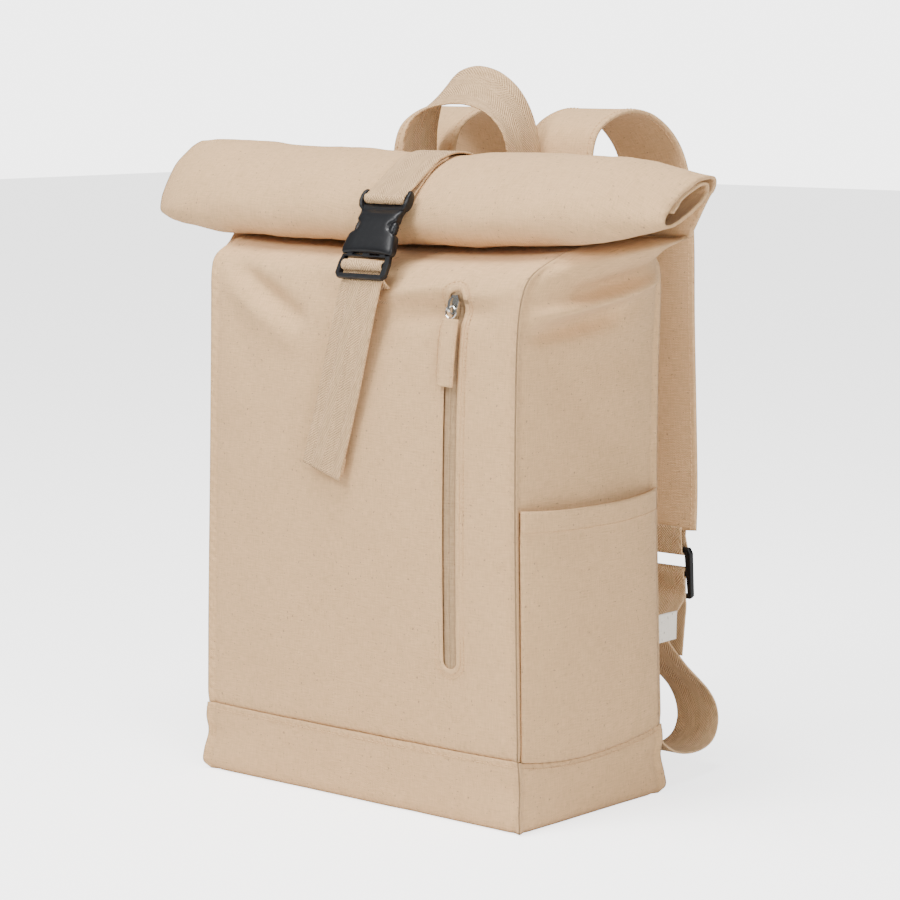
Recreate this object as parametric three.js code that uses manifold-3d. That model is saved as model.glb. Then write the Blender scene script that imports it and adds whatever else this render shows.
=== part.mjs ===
// A rolltop backpack of undyed canvas, standing on its base with the mouth rolled shut.
// Millimetres, +Z up, +X to the right of someone who faces the zip pocket, +Y towards the wearer's back.
// The origin is the middle of the flat base, on the ground.
import * as THREE from "three";
import { mergeVertices } from "three/addons/utils/BufferGeometryUtils.js";
import Module from "manifold-3d";

const wasm = await Module();
wasm.setup();

// The bag's body
const bodyWidth = 290;
const bodyDepth = 154;
const neckHeight = 391;
const bootHeight = 49;
const clothWall = 2;
const seamGap = 0.3;
const pocketHeight = 216;
const pocketWall = 1.5;
const pocketFullness = 6.5;

// The rolled mouth
const rollHalfLength = 222;
const rollReach = 46;
const rollThickness = 28;
const rollRise = 24;
const rollWall = 2;
const rollTightening = 0.29;
const rollStartAngle = -40;
const rollEndAngle = 520;

// Webbing, buckle and closure
const webbingWidth = 36;
const webbingThickness = 1.6;
const layerGap = 0.4;
const closureX = 15;
const closureBackX = 6;
const buckleWidth = 45;
const socketLength = 42;
const earLength = 5;
const frameLength = 17;
const socketThickness = 9;
const frameThickness = 4;
const barWidth = 3;
const buckleLean = 28;
const tailLength = 128;
const tailDrift = 34;
const tailStandOff = 3;
const tailFall = 2.6;
const anchorLength = 16;

// The zip in the front panel
const zipCentreX = 88;
const zipBottom = 103;
const zipTop = 358;
const zipSlotWidth = 14;
const zipTapeThickness = 0.9;
const zipRib = 5;
const zipRibHeight = 0.4;
const sliderWidth = 8;
const sliderLength = 14;
const sliderThickness = 2.2;
const ringRadius = 4.2;
const ringWire = 0.7;
const pullerWidth = 14;
const pullerLength = 47;
const pullerThickness = 1.8;

// The carry handle and the shoulder straps
const handleSpread = 48;
const handleTop = 489;
const handleY = 43;
const handleTurn = 47;
const handleSewing = 24;
const strapWidth = 58;
const strapThickness = 3;
const strapCentreX = 62.5;
const strapTop = 471;
const strapBottom = 172;
const strapReach = 76;
const strapFlare = 32;
const strapSewing = 30;
const loopLength = 22;
const adjusterLength = 38;
const adjusterWidth = 48;
const adjusterThickness = 4;
const adjusterLean = -8;
const lowerAnchorHeight = 42;
const lowerReach = 82;
const lowerTail = 36;
const labelWidth = 25;
const labelHeight = 20;
const labelBottom = 105;
const labelThickness = 0.8;

const radians = THREE.MathUtils.degToRad;
const clamp = THREE.MathUtils.clamp;
const mix = THREE.MathUtils.lerp;
const halfWidth = bodyWidth / 2;
const halfDepth = bodyDepth / 2;

// The colours that the pieces have
const canvas = new THREE.MeshStandardMaterial({ color: 0xd8c6ad, roughness: 0.95, metalness: 0 });
const webbing = new THREE.MeshStandardMaterial({ color: 0xd3bfa3, roughness: 0.9, metalness: 0 });
const tapeCloth = new THREE.MeshStandardMaterial({ color: 0xb6a389, roughness: 0.8, metalness: 0 });
const blackPlastic = new THREE.MeshStandardMaterial({ color: 0x1b1c1f, roughness: 0.4, metalness: 0 });
const nickel = new THREE.MeshStandardMaterial({ color: 0xb8b6b0, roughness: 0.2, metalness: 1 });
const labelCloth = new THREE.MeshStandardMaterial({ color: 0xefe8dc, roughness: 0.9, metalness: 0 });

// A table is a list of column names and a row of numbers for each section.
function table(columns, rows) {
  return rows.map((row) => Object.fromEntries(columns.map((name, i) => [name, row[i]])));
}

// A smooth curve through one column of a table, read at a value of its first column.
function read(rows, key, column, at) {
  const last = rows.length - 1;
  let i = 0;
  while (i < last - 1 && at > rows[i + 1][key]) i += 1;
  const slope = (j) => {
    const before = Math.max(0, j - 1);
    const after = Math.min(last, j + 1);
    return (rows[after][column] - rows[before][column]) / (rows[after][key] - rows[before][key]);
  };
  const span = rows[i + 1][key] - rows[i][key];
  const t = clamp((at - rows[i][key]) / span, 0, 1);
  const [a, b] = [rows[i][column], rows[i + 1][column]];
  const [ma, mb] = [slope(i) * span, slope(i + 1) * span];
  const t2 = t * t;
  const t3 = t2 * t;
  return a * (2 * t3 - 3 * t2 + 1) + ma * (t3 - 2 * t2 + t) + b * (3 * t2 - 2 * t3) + mb * (t3 - t2);
}

// The body's plan at each height. Heights are shares of the neck's height, widths of half the bag's
// width and depths of half its depth. The seams join the front and back panels to the side gussets.
const bodySections = table(
  ["height", "seamX", "frontSeam", "frontMiddle", "gussetX", "backSeam", "backMiddle", "pinch"],
  [
    [0.0, 0.985, -0.97, -0.97, 0.985, 0.97, 0.97, 0],
    [0.012, 1.008, -1.02, -1.01, 1.01, 1.01, 1.01, 0],
    [0.036, 1.01, -1.03, -1.02, 1.012, 1.01, 1.01, 0.012],
    [0.07, 1.0, -1.0, -1.03, 1.005, 0.99, 1.02, 0.018],
    [0.1, 0.995, -1.0, -1.04, 1.005, 0.99, 1.02, 0],
    [0.125, 0.99, -1.0, -1.045, 1.005, 0.99, 1.02, 0],
    [0.3, 0.98, -1.0, -1.09, 1.01, 0.97, 1.04, 0],
    [0.55, 0.965, -0.99, -1.11, 1.0, 0.96, 1.05, 0],
    [0.77, 0.96, -0.97, -1.08, 1.01, 0.98, 1.04, 0],
    [0.87, 0.965, -0.95, -1.02, 1.05, 0.99, 1.02, 0],
    [0.92, 0.98, -0.91, -0.95, 1.1, 0.95, 0.99, 0],
    [0.945, 0.995, -0.83, -0.82, 1.16, 0.88, 0.92, 0],
    [0.962, 1.005, -0.66, -0.53, 1.23, 0.78, 0.82, 0],
    [0.98, 1.01, -0.38, -0.16, 1.31, 0.62, 0.66, 0],
    [1.0, 1.01, 0.16, 0.2, 1.4, 0.42, 0.44, 0],
  ],
);
const panelCurve = 2.6;
const gussetCurve = 2.2;

function sectionAt(z) {
  const share = z / neckHeight;
  const at = (column) => read(bodySections, "height", column, share);
  return {
    seamX: at("seamX") * halfWidth,
    frontSeam: at("frontSeam") * halfDepth,
    frontMiddle: at("frontMiddle") * halfDepth,
    gussetX: at("gussetX") * halfWidth,
    backSeam: at("backSeam") * halfDepth,
    backMiddle: at("backMiddle") * halfDepth,
    pinch: at("pinch") * halfDepth,
  };
}

// The outer cloth surface of the front and back panels and of the gussets.
function frontY(x, z) {
  const s = sectionAt(z);
  const across = clamp(Math.abs(x) / s.seamX, 0, 1);
  return s.frontMiddle + (s.frontSeam - s.frontMiddle) * across ** panelCurve;
}

function backY(x, z) {
  const s = sectionAt(z);
  const across = clamp(Math.abs(x) / s.seamX, 0, 1);
  return s.backMiddle + (s.backSeam - s.backMiddle) * across ** panelCurve;
}

function gussetPoint(z, across) {
  const s = sectionAt(z);
  const y = mix(s.frontSeam, s.backSeam, (across + 1) / 2);
  return { x: s.seamX + (s.gussetX - s.seamX) * (1 - Math.abs(across) ** gussetCurve), y };
}

// One closed ring round the body at a height, starting at the front left seam.
const panelSteps = 10;
const gussetSteps = 6;

function bodyRing(z) {
  const s = sectionAt(z);
  const ring = [];
  for (let i = 0; i < panelSteps; i++) {
    const x = mix(-s.seamX, s.seamX, i / panelSteps);
    ring.push([x, frontY(x, z), z]);
  }
  for (let i = 0; i < gussetSteps; i++) {
    const p = gussetPoint(z, mix(-1, 1, i / gussetSteps));
    ring.push([p.x, p.y, z]);
  }
  for (let i = 0; i < panelSteps; i++) {
    const x = mix(s.seamX, -s.seamX, i / panelSteps);
    ring.push([x, backY(x, z), z]);
  }
  for (let i = 0; i < gussetSteps; i++) {
    const p = gussetPoint(z, mix(1, -1, i / gussetSteps));
    ring.push([-p.x, p.y, z]);
  }
  // The crease above the floor pulls the four corners in.
  const corners = [0, panelSteps, panelSteps + gussetSteps, 2 * panelSteps + gussetSteps];
  for (const c of corners) {
    ring[c][0] -= Math.sign(ring[c][0]) * s.pinch;
    ring[c][1] -= Math.sign(ring[c][1]) * s.pinch;
  }
  return ring.map((p) => new THREE.Vector3(...p));
}

// A mesh from a list of points and a list of polygons, each given as point numbers.
function meshOf(points, polygons) {
  const index = polygons.flatMap((f) => f.slice(2).flatMap((_, i) => [f[0], f[i + 1], f[i + 2]]));
  const geometry = new THREE.BufferGeometry();
  geometry.setAttribute("position", new THREE.Float32BufferAttribute(points.flatMap((p) => [p.x, p.y, p.z]), 3));
  geometry.setIndex(index);
  return geometry;
}

// Polygons between rings of equal length, where ring r holds the points r*count to r*count+count-1.
function bands(count, from, to) {
  const polygons = [];
  for (let i = 0; i < count; i++) {
    const j = (i + 1) % count;
    polygons.push([from * count + i, from * count + j, to * count + j, to * count + i]);
  }
  return polygons;
}

// The rings moved in along the surface's own normal by the cloth's thickness.
function inset(rings, wall) {
  const count = rings[0].length;
  return rings.map((ring, r) =>
    ring.map((p, i) => {
      const above = rings[Math.min(rings.length - 1, r + 1)][i];
      const below = rings[Math.max(0, r - 1)][i];
      const along = new THREE.Vector3().subVectors(above, below);
      const round = new THREE.Vector3().subVectors(ring[(i + 1) % count], ring[(i + count - 1) % count]);
      const normal = new THREE.Vector3().crossVectors(round, along).normalize();
      const rim = r === 0 || r === rings.length - 1;
      if (rim) normal.setZ(0).normalize();
      return p.clone().addScaledVector(normal, -wall);
    }),
  );
}

// A tube of cloth, open at both ends.
function clothTube(rings, wall) {
  const count = rings[0].length;
  const inner = inset(rings, wall);
  const all = [...rings, ...inner.reverse()];
  const polygons = [];
  for (let r = 0; r < all.length; r++) polygons.push(...bands(count, r, (r + 1) % all.length));
  return meshOf(all.flat(), polygons);
}

// A cup of cloth with a flat floor, open at the top.
function clothCup(rings, wall) {
  const count = rings[0].length;
  const inner = inset(rings, wall);
  inner[0].forEach((p) => p.setZ(rings[0][0].z + wall));
  inner.splice(1, inner.length - 1, ...inner.slice(1).filter((ring) => ring[0].z > inner[0][0].z + wall));
  const all = [...rings, ...inner.reverse()];
  const polygons = [];
  for (let r = 0; r < all.length - 1; r++) polygons.push(...bands(count, r, r + 1));
  const floor = Array.from({ length: count }, (_, i) => count - 1 - i);
  polygons.push(floor);
  polygons.push(floor.map((i) => (all.length - 1) * count + count - 1 - i));
  return meshOf(all.flat(), polygons);
}

// A flat band swept along rows of {at, wide, normal}: its middle, the way its width runs, and its face.
function ribbon(rows, width, thickness) {
  const points = [];
  for (const row of rows) {
    const w = typeof row.width === "number" ? row.width : width;
    for (const [side, face] of [[-1, -1], [1, -1], [1, 1], [-1, 1]]) {
      points.push(
        row.at
          .clone()
          .addScaledVector(row.wide, (side * w) / 2)
          .addScaledVector(row.normal, (face * thickness) / 2),
      );
    }
  }
  const last = (rows.length - 1) * 4;
  const polygons = [[3, 2, 1, 0], [last, last + 1, last + 2, last + 3]];
  for (let r = 0; r < rows.length - 1; r++) polygons.push(...bands(4, r, r + 1));
  return meshOf(points, polygons);
}

// Rows for a band whose middle follows the points, with its width as near as can be to the directions given.
function route(points, wides) {
  return points.map((at, i) => {
    const before = points[Math.max(0, i - 1)];
    const after = points[Math.min(points.length - 1, i + 1)];
    const along = new THREE.Vector3().subVectors(after, before).normalize();
    const wide = wides[i].clone().addScaledVector(along, -wides[i].dot(along)).normalize();
    return { at, wide, normal: new THREE.Vector3().crossVectors(along, wide) };
  });
}

const acrossX = new THREE.Vector3(1, 0, 0);

function vector(x, y, z) {
  return new THREE.Vector3(x, y, z);
}

// Manifold solids are used only to cut and join.
function solid(geometry) {
  const bare = geometry.index ? geometry.toNonIndexed() : geometry.clone();
  const plain = new THREE.BufferGeometry().setAttribute("position", bare.getAttribute("position"));
  const merged = mergeVertices(plain, 1e-4);
  return new wasm.Manifold(
    new wasm.Mesh({
      numProp: 3,
      vertProperties: merged.attributes.position.array,
      triVerts: new Uint32Array(merged.index.array),
    }),
  );
}

function geometryOf(made) {
  const mesh = made.getMesh();
  const geometry = new THREE.BufferGeometry();
  const points = [];
  for (let i = 0; i < mesh.numVert; i++) points.push(...mesh.vertProperties.subarray(i * mesh.numProp, i * mesh.numProp + 3));
  geometry.setAttribute("position", new THREE.Float32BufferAttribute(points, 3));
  geometry.setIndex(Array.from(mesh.triVerts));
  return geometry;
}

// The left-hand copy of a right-hand piece.
function mirroredGeometry(geometry) {
  const copy = (geometry.index ? geometry.toNonIndexed() : geometry.clone()).scale(-1, 1, 1);
  const place = copy.getAttribute("position");
  for (let i = 0; i < place.count; i += 3) {
    const second = vector(place.getX(i + 1), place.getY(i + 1), place.getZ(i + 1));
    place.setXYZ(i + 1, place.getX(i + 2), place.getY(i + 2), place.getZ(i + 2));
    place.setXYZ(i + 2, second.x, second.y, second.z);
  }
  return copy;
}

const model = new THREE.Group();

function add(name, geometry, material) {
  const mesh = new THREE.Mesh(geometry, material);
  mesh.name = name;
  model.add(mesh);
  return mesh;
}

// The canvas body, its boot and the slip pockets
const bodyHeights = [0, 0.035, 0.19, 0.42, 0.65, 0.8, 0.87, 0.905, 0.93, 0.95, 0.966, 0.98, 0.99, 1];
const bootHeights = [0, 0.1, 0.29, 0.57, 0.8, 1];

function bodyShell() {
  const bottom = bootHeight + seamGap;
  const rings = bodyHeights.map((share) => bodyRing(mix(bottom, neckHeight, share)));
  const slot = new THREE.BoxGeometry(zipSlotWidth, halfDepth, zipTop - zipBottom);
  slot.translate(zipCentreX, frontY(zipCentreX, (zipTop + zipBottom) / 2), (zipTop + zipBottom) / 2);
  return geometryOf(solid(clothTube(rings, clothWall)).subtract(solid(slot)));
}

function baseBoot() {
  return clothCup(bootHeights.map((share) => bodyRing(share * bootHeight)), clothWall);
}

// A pocket panel lies on a gusset, sewn in at its sides and bottom and full enough in the middle to open.
const pocketSteps = 8;

function pocketPoint(side, z, across, out) {
  const p = gussetPoint(z, across);
  const up = (z - bootHeight) / (pocketHeight - bootHeight);
  const fullness = pocketFullness * Math.sqrt(clamp(up * 1.6, 0, 1)) * (1 - across ** 4);
  return vector(side * (p.x + seamGap + fullness + out), p.y, z);
}

function sidePocket(side) {
  const heights = [0, 0.08, 0.25, 0.5, 0.75, 1].map((t) => mix(bootHeight + seamGap, pocketHeight, t));
  const width = 0.97;
  const rings = heights.map((z) => {
    const outer = [];
    const inner = [];
    for (let i = 0; i <= pocketSteps; i++) {
      const across = mix(-width, width, i / pocketSteps);
      outer.push(pocketPoint(side, z, across, pocketWall));
      inner.push(pocketPoint(side, z, across, 0));
    }
    return side > 0 ? [...outer, ...inner.reverse()] : [...inner, ...outer.reverse()];
  });
  return closedLoft(rings);
}

// A solid through rings of equal length, capped with flat strips between a ring's two halves.
function closedLoft(rings) {
  const count = rings[0].length;
  const polygons = [];
  for (let r = 0; r < rings.length - 1; r++) polygons.push(...bands(count, r, r + 1));
  const last = (rings.length - 1) * count;
  for (let i = 0; i < count / 2 - 1; i++) {
    const j = count - 1 - i;
    polygons.push([j, j - 1, i + 1, i]);
    polygons.push([last + i, last + i + 1, last + j - 1, last + j]);
  }
  return meshOf(rings.flat(), polygons);
}

// The roll's own section at stations along it: lengths are shares of the bag's half depth, of the roll's
// rise over the neck, of its reach and of its thickness.
const rollSections = table(
  ["along", "y", "z", "reach", "thickness", "tilt"],
  [
    [-1.0, -0.28, 1.2, 0.74, 0.38, 48],
    [-0.93, -0.28, 1.1, 0.86, 0.6, 44],
    [-0.78, -0.27, 0.95, 0.95, 0.88, 37],
    [-0.4, -0.25, 0.85, 0.98, 1.0, 31],
    [0.05, -0.25, 0.77, 0.95, 0.97, 28],
    [0.4, -0.22, 0.85, 0.99, 1.0, 28],
    [0.78, -0.15, 0.95, 0.9, 0.84, 27],
    [0.93, -0.07, 1.0, 0.76, 0.58, 26],
    [1.0, -0.02, 1.02, 0.68, 0.36, 26],
  ],
);
const rollStations = [-1, -0.965, -0.9, -0.78, -0.5, -0.2, 0.05, 0.3, 0.55, 0.78, 0.9, 0.965, 1];
const neckSlot = sectionAt(neckHeight);
const neckY = (neckSlot.frontMiddle + neckSlot.backMiddle) / 2;
const neckHalfLength = neckSlot.gussetX;

// A point on the rolled cloth: along is the share of the half length, angle the degrees turned round it.
function rollPoint(along, angle, out) {
  const at = (column) => read(rollSections, "along", column, along);
  const tilt = radians(at("tilt"));
  const tightening = 1 - (rollTightening * Math.max(0, angle)) / 360;
  const reach = at("reach") * rollReach * tightening + out;
  const thickness = at("thickness") * rollThickness * tightening + out;
  const a = reach * Math.cos(radians(angle));
  const b = thickness * Math.sin(radians(angle));
  return vector(
    along * rollHalfLength,
    at("y") * halfDepth + a * Math.cos(tilt) - b * Math.sin(tilt),
    neckHeight + at("z") * rollRise + a * Math.sin(tilt) + b * Math.cos(tilt),
  );
}

const risingSteps = 3;
const turnSteps = 40;

function rolledTop() {
  const half = rollWall / 2;
  const rings = rollStations.map((along) => {
    const middle = [];
    const start = rollPoint(along, rollStartAngle, 0);
    for (let i = 0; i < risingSteps; i++) {
      const t = i / risingSteps;
      middle.push(
        vector(
          along * mix(neckHalfLength, rollHalfLength, t),
          mix(neckY, start.y, t),
          mix(neckHeight + seamGap, start.z, t),
        ),
      );
    }
    for (let i = 0; i <= turnSteps; i++) {
      middle.push(rollPoint(along, mix(rollStartAngle, rollEndAngle, i / turnSteps), 0));
    }
    const outer = [];
    const inner = [];
    middle.forEach((p, i) => {
      const before = middle[Math.max(0, i - 1)];
      const after = middle[Math.min(middle.length - 1, i + 1)];
      const direction = vector(0, after.y - before.y, after.z - before.z).normalize();
      const normal = i === 0 ? vector(0, 1, 0) : vector(0, direction.z, -direction.y);
      outer.push(p.clone().addScaledVector(normal, half));
      inner.push(p.clone().addScaledVector(normal, -half));
    });
    return [...outer, ...inner.reverse()];
  });
  return closedLoft(rings);
}

// A frame of its own for each buckle: x across, y up the strap, z out of its face. It leans about X.
function leaning(origin, lean) {
  const group = new THREE.Group();
  group.position.copy(origin);
  group.rotation.x = radians(90 - lean);
  group.updateMatrixWorld(true);
  model.add(group);
  return { group, point: (x, y, z) => vector(x, y, z).applyMatrix4(group.matrixWorld) };
}

const slotHalf = webbingWidth / 2 + 0.6;
const half = webbingThickness / 2;
const barHalf = barWidth / 2;
const turnRadius = barHalf * Math.SQRT2 + half + seamGap;
const barPitch = turnRadius + half + seamGap + barHalf;

function box(x0, x1, y0, y1, z0, z1) {
  const geometry = new THREE.BoxGeometry(x1 - x0, y1 - y0, z1 - z0);
  geometry.translate((x0 + x1) / 2, (y0 + y1) / 2, (z0 + z1) / 2);
  return solid(geometry);
}

function outline(points) {
  const shape = new THREE.Shape();
  shape.moveTo(...points[0]);
  points.slice(1).forEach((p) => shape.lineTo(...p));
  shape.closePath();
  return shape;
}

function plate(shape, thickness, bevel) {
  const geometry = new THREE.ExtrudeGeometry(shape, {
    depth: thickness - 2 * bevel,
    bevelEnabled: bevel > 0,
    bevelThickness: bevel,
    bevelSize: bevel,
    bevelOffset: -bevel,
    bevelSegments: 1,
  });
  geometry.translate(0, 0, -thickness / 2 + bevel);
  return solid(geometry);
}

// Half of the socket's outline from its ear down: shares of half the buckle's width and of its length.
const socketOutline = table(
  ["across", "down"],
  [
    [0.84, -0.12],
    [0.94, -0.08],
    [0.96, 0.06],
    [0.89, 0.18],
    [0.77, 0.3],
    [0.82, 0.48],
    [0.95, 0.74],
    [1.0, 0.93],
    [0.92, 1.0],
  ],
);
const cavityShare = { top: 0.28, across: 0.78, height: 0.5 };
const windowShare = { middle: 0.5, half: 0.15, depth: 0.14 };

function mirrored(rows, length) {
  const side = rows.map((r) => [(r.across * buckleWidth) / 2, -r.down * length]);
  return [...side, ...side.map(([x, y]) => [-x, y]).reverse()];
}

function buckleSocket() {
  const thick = socketThickness;
  const slotEnd = -(turnRadius + half + seamGap);
  let made = plate(outline(mirrored(socketOutline, socketLength)), thick, 1.2);
  made = made.subtract(box(-slotHalf, slotHalf, barHalf, earLength * 2, -thick, thick));
  made = made.subtract(box(-slotHalf, slotHalf, slotEnd, -barHalf, -thick, thick));
  made = made.subtract(box(-slotHalf, slotHalf, -barHalf, barHalf, barHalf, thick));
  made = made.subtract(box(-slotHalf, slotHalf, -barHalf, barHalf, -thick, -barHalf));
  const inside = (buckleWidth / 2) * cavityShare.across;
  const tall = (thick / 2) * cavityShare.height;
  made = made.subtract(box(-inside, inside, -socketLength * 2, -socketLength * cavityShare.top, -tall, tall));
  for (const side of [-1, 1]) {
    const reach = windowShare.half * socketLength;
    const window = new THREE.CylinderGeometry(reach, reach, thick * 2, 14);
    window.rotateX(Math.PI / 2);
    window.scale((windowShare.depth * buckleWidth) / reach, 1, 1);
    window.translate((side * buckleWidth) / 2, -windowShare.middle * socketLength, 0);
    made = made.subtract(solid(window));
  }
  return geometryOf(made);
}

const frameTop = -socketLength - seamGap;
const midBarY = frameTop - barWidth / 2 - barPitch;

function ladderWindow(barY, from) {
  return box(-slotHalf, slotHalf, Math.min(barY, from), Math.max(barY, from), -socketThickness, socketThickness);
}

// The prong: a ladder frame for the webbing, and sprung arms and a tongue that reach into the socket.
function buckleProng() {
  const bottom = frameTop - frameLength;
  const wide = buckleWidth / 2;
  const shape = outline([
    [-wide * 0.94, frameTop],
    [-wide, frameTop - frameLength / 3],
    [-wide, bottom + barWidth],
    [-wide * 0.88, bottom],
    [wide * 0.88, bottom],
    [wide, bottom + barWidth],
    [wide, frameTop - frameLength / 3],
    [wide * 0.94, frameTop],
  ]);
  let made = plate(shape, frameThickness, 0.6);
  made = made.subtract(ladderWindow(midBarY + barHalf, frameTop - barWidth / 2));
  made = made.subtract(ladderWindow(bottom + barWidth, midBarY - barHalf));
  made = made.subtract(box(-slotHalf, slotHalf, midBarY - barHalf, midBarY + barHalf, barHalf, socketThickness));
  made = made.subtract(box(-slotHalf, slotHalf, bottom - 1, midBarY + barHalf, -socketThickness, -barHalf));
  const reach = socketLength * (1 - cavityShare.top) - 2;
  const tall = (socketThickness / 2) * cavityShare.height - seamGap;
  const root = frameTop - barWidth / 4;
  const armOut = wide * cavityShare.across - seamGap;
  const armIn = armOut - 5;
  made = made.add(box(armIn, armOut, root, frameTop + reach, -tall, tall));
  made = made.add(box(-armOut, -armIn, root, frameTop + reach, -tall, tall));
  made = made.add(box(-3, 3, root, frameTop + reach, -tall, tall));
  return geometryOf(made);
}

// A point just outside the back panel and its slope up to the neck, at a distance along the normal.
function onBack(x, z, out) {
  const step = 2;
  const slope = (backY(x, z + step) - backY(x, z - step)) / (2 * step);
  const length = Math.hypot(1, slope);
  return vector(x, backY(x, z) + out / length, z - (out * slope) / length);
}

function onFront(x, z, out) {
  const step = 2;
  const slope = (frontY(x, z + step) - frontY(x, z - step)) / (2 * step);
  const length = Math.hypot(1, slope);
  return vector(x, frontY(x, z) - out / length, z + (out * slope) / length);
}

const touching = half + layerGap;
const contactAngle = 138;
const contact = rollPoint(closureX / rollHalfLength, contactAngle, 0);
const standOff = rollWall / 2 + 2 * webbingThickness + layerGap * 3 + socketThickness / 2;
const buckleUp = -1;
const buckleOrigin = vector(
  closureX,
  contact.y - Math.cos(radians(buckleLean)) * standOff + Math.sin(radians(buckleLean)) * buckleUp,
  contact.z + Math.sin(radians(buckleLean)) * standOff + Math.cos(radians(buckleLean)) * buckleUp,
);
const buckle = leaning(buckleOrigin, buckleLean);

// The closure webbing is sewn to the back, goes over the roll, round the socket's bar and under itself.
function closureStrap() {
  const points = [];
  const backSlope = [0.9, 0.915, 0.93, 0.945, 0.96, 0.975, 0.99].map((share) => share * neckHeight);
  for (const z of backSlope) points.push(onBack(closureBackX, z, touching + layerGap));
  const along = closureX / rollHalfLength;
  const onRoll = rollWall / 2 + touching + layerGap * 3;
  for (const angle of [-8, 4, 16, 28, 40, 52, 64, 76, 86]) {
    const second = (webbingThickness + layerGap) * clamp((angle - 30) / 40, 0, 1);
    points.push(rollPoint(along, angle, onRoll + second));
  }
  for (const turn of [70, 30, -10, -50, -90, -130, -165]) {
    const a = radians(turn);
    points.push(buckle.point(0, turnRadius * Math.sin(a), turnRadius * Math.cos(a)));
  }
  for (const angle of [96, 82, 70]) points.push(rollPoint(along, angle, onRoll));
  const crest = backSlope.length + 4;
  points.forEach((p, i) => p.setX(mix(closureBackX, closureX, clamp(i / crest, 0, 1))));
  return ribbon(route(points, points.map(() => acrossX)), webbingWidth, webbingThickness);
}

// The lower closure webbing: sewn to the front, up behind the frame, over its middle bar and down as a tail.
function closureTail() {
  const points = [];
  const behind = barHalf + half + layerGap;
  const bottomBar = frameTop - frameLength + barHalf;
  const anchorTop = buckle.point(0, bottomBar, -behind - webbingThickness - layerGap);
  const sewn = anchorTop.z - anchorLength;
  for (const share of [0, 0.3, 0.55]) points.push(onFront(closureX, mix(sewn, anchorTop.z, share), touching));
  points.push(anchorTop);
  for (const turn of [200, 160, 120, 80, 40, 0, -40, -80, -115]) {
    const a = radians(turn);
    points.push(buckle.point(0, midBarY + turnRadius * Math.sin(a), turnRadius * Math.cos(a)));
  }
  points.push(buckle.point(0, bottomBar, -behind));
  // It hangs from the bar and comes to rest a little off the panel.
  const first = buckle.point(0, bottomBar - 5, -behind - 0.6);
  const rest = touching + webbingThickness + layerGap + tailStandOff;
  const barOut = frontY(closureX, first.z) - first.y;
  points.push(first);
  const steps = 9;
  for (let i = 1; i <= steps; i++) {
    const t = i / steps;
    const out = mix(rest, barOut, (1 - t) ** tailFall);
    points.push(onFront(closureX - tailDrift * t ** 1.15, first.z - t * tailLength, out));
  }
  return ribbon(route(points, points.map(() => acrossX)), webbingWidth, webbingThickness);
}

// The zip's tape lies in the slot, with the covered teeth as a rib down its middle.
function zipTape() {
  const edge = zipSlotWidth / 2 - seamGap;
  const rib = zipRib / 2;
  const profile = table(
    ["across", "depth"],
    [
      [-edge, clothWall / 2],
      [-rib, clothWall / 2],
      [-rib * 0.9, clothWall / 2 - zipRibHeight],
      [-0.15, clothWall / 2 - zipRibHeight],
      [0, clothWall / 2],
      [0.15, clothWall / 2 - zipRibHeight],
      [rib * 0.9, clothWall / 2 - zipRibHeight],
      [rib, clothWall / 2],
      [edge, clothWall / 2],
    ],
  );
  const steps = 12;
  const rings = [];
  for (let i = 0; i <= steps; i++) {
    const z = mix(zipBottom + seamGap, zipTop - seamGap, i / steps);
    const outer = profile.map((p) => {
      const x = zipCentreX + p.across;
      return vector(x, frontY(x, z) + p.depth, z);
    });
    const inner = profile.map((p) => {
      const x = zipCentreX + p.across;
      return vector(x, frontY(x, z) + clothWall / 2 + zipTapeThickness, z);
    });
    rings.push([...outer, ...inner.reverse()]);
  }
  return closedLoft(rings);
}

// The slider stands on the tape, leaning as the panel does there.
function panelLean(low, high) {
  return THREE.MathUtils.radToDeg(Math.atan((frontY(zipCentreX, high) - frontY(zipCentreX, low)) / (high - low)));
}

const sliderZ = zipTop - sliderLength / 2 - 4;
const sliderLean = panelLean(sliderZ - sliderLength / 2, sliderZ + sliderLength / 2);
const sliderSeat = clothWall / 2 - zipRibHeight - seamGap;
const slider = leaning(onFront(zipCentreX, sliderZ, -sliderSeat + 0.2), sliderLean);
const bridgeHeight = 4.5;
const bridgeWidth = 2.2;
const bridgeEye = ringWire + 0.5;

const eyePlace = vector(0, -sliderLength * 0.05, sliderThickness + bridgeHeight * 0.42);

function zipSlider() {
  const wide = sliderWidth / 2;
  const long = sliderLength / 2;
  const shape = outline([
    [-wide, long * 0.4],
    [-wide * 0.7, -long * 0.8],
    [0, -long],
    [wide * 0.7, -long * 0.8],
    [wide, long * 0.4],
    [wide * 0.6, long],
    [-wide * 0.6, long],
  ]);
  const base = plate(shape, sliderThickness, 0.4).translate(0, 0, sliderThickness / 2);
  const top = sliderThickness + bridgeHeight;
  const foot = sliderThickness - 0.5;
  const arch = outline([
    [-long * 0.75, foot],
    [long * 0.75, foot],
    [long * 0.62, top - 1.5],
    [long * 0.3, top],
    [-long * 0.5, top],
    [-long * 0.72, top - 1.2],
  ]);
  const eye = new THREE.CylinderGeometry(bridgeEye, bridgeEye, bridgeWidth * 2, 12);
  eye.rotateX(Math.PI / 2);
  eye.translate(eyePlace.y, eyePlace.z, 0);
  // The arch is drawn as y up the zip and z out, so it is turned to stand on the slider.
  const turned = plate(arch, bridgeWidth, 0).subtract(solid(eye)).rotate(90, 0, 90);
  return geometryOf(base.add(turned));
}

// The ring hangs from the slider's eye, and the canvas puller is folded over the ring. Their frame's origin
// is the eye.
const pull = leaning(slider.point(eyePlace.x, eyePlace.y, eyePlace.z), panelLean(sliderZ - pullerLength, sliderZ));

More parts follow.
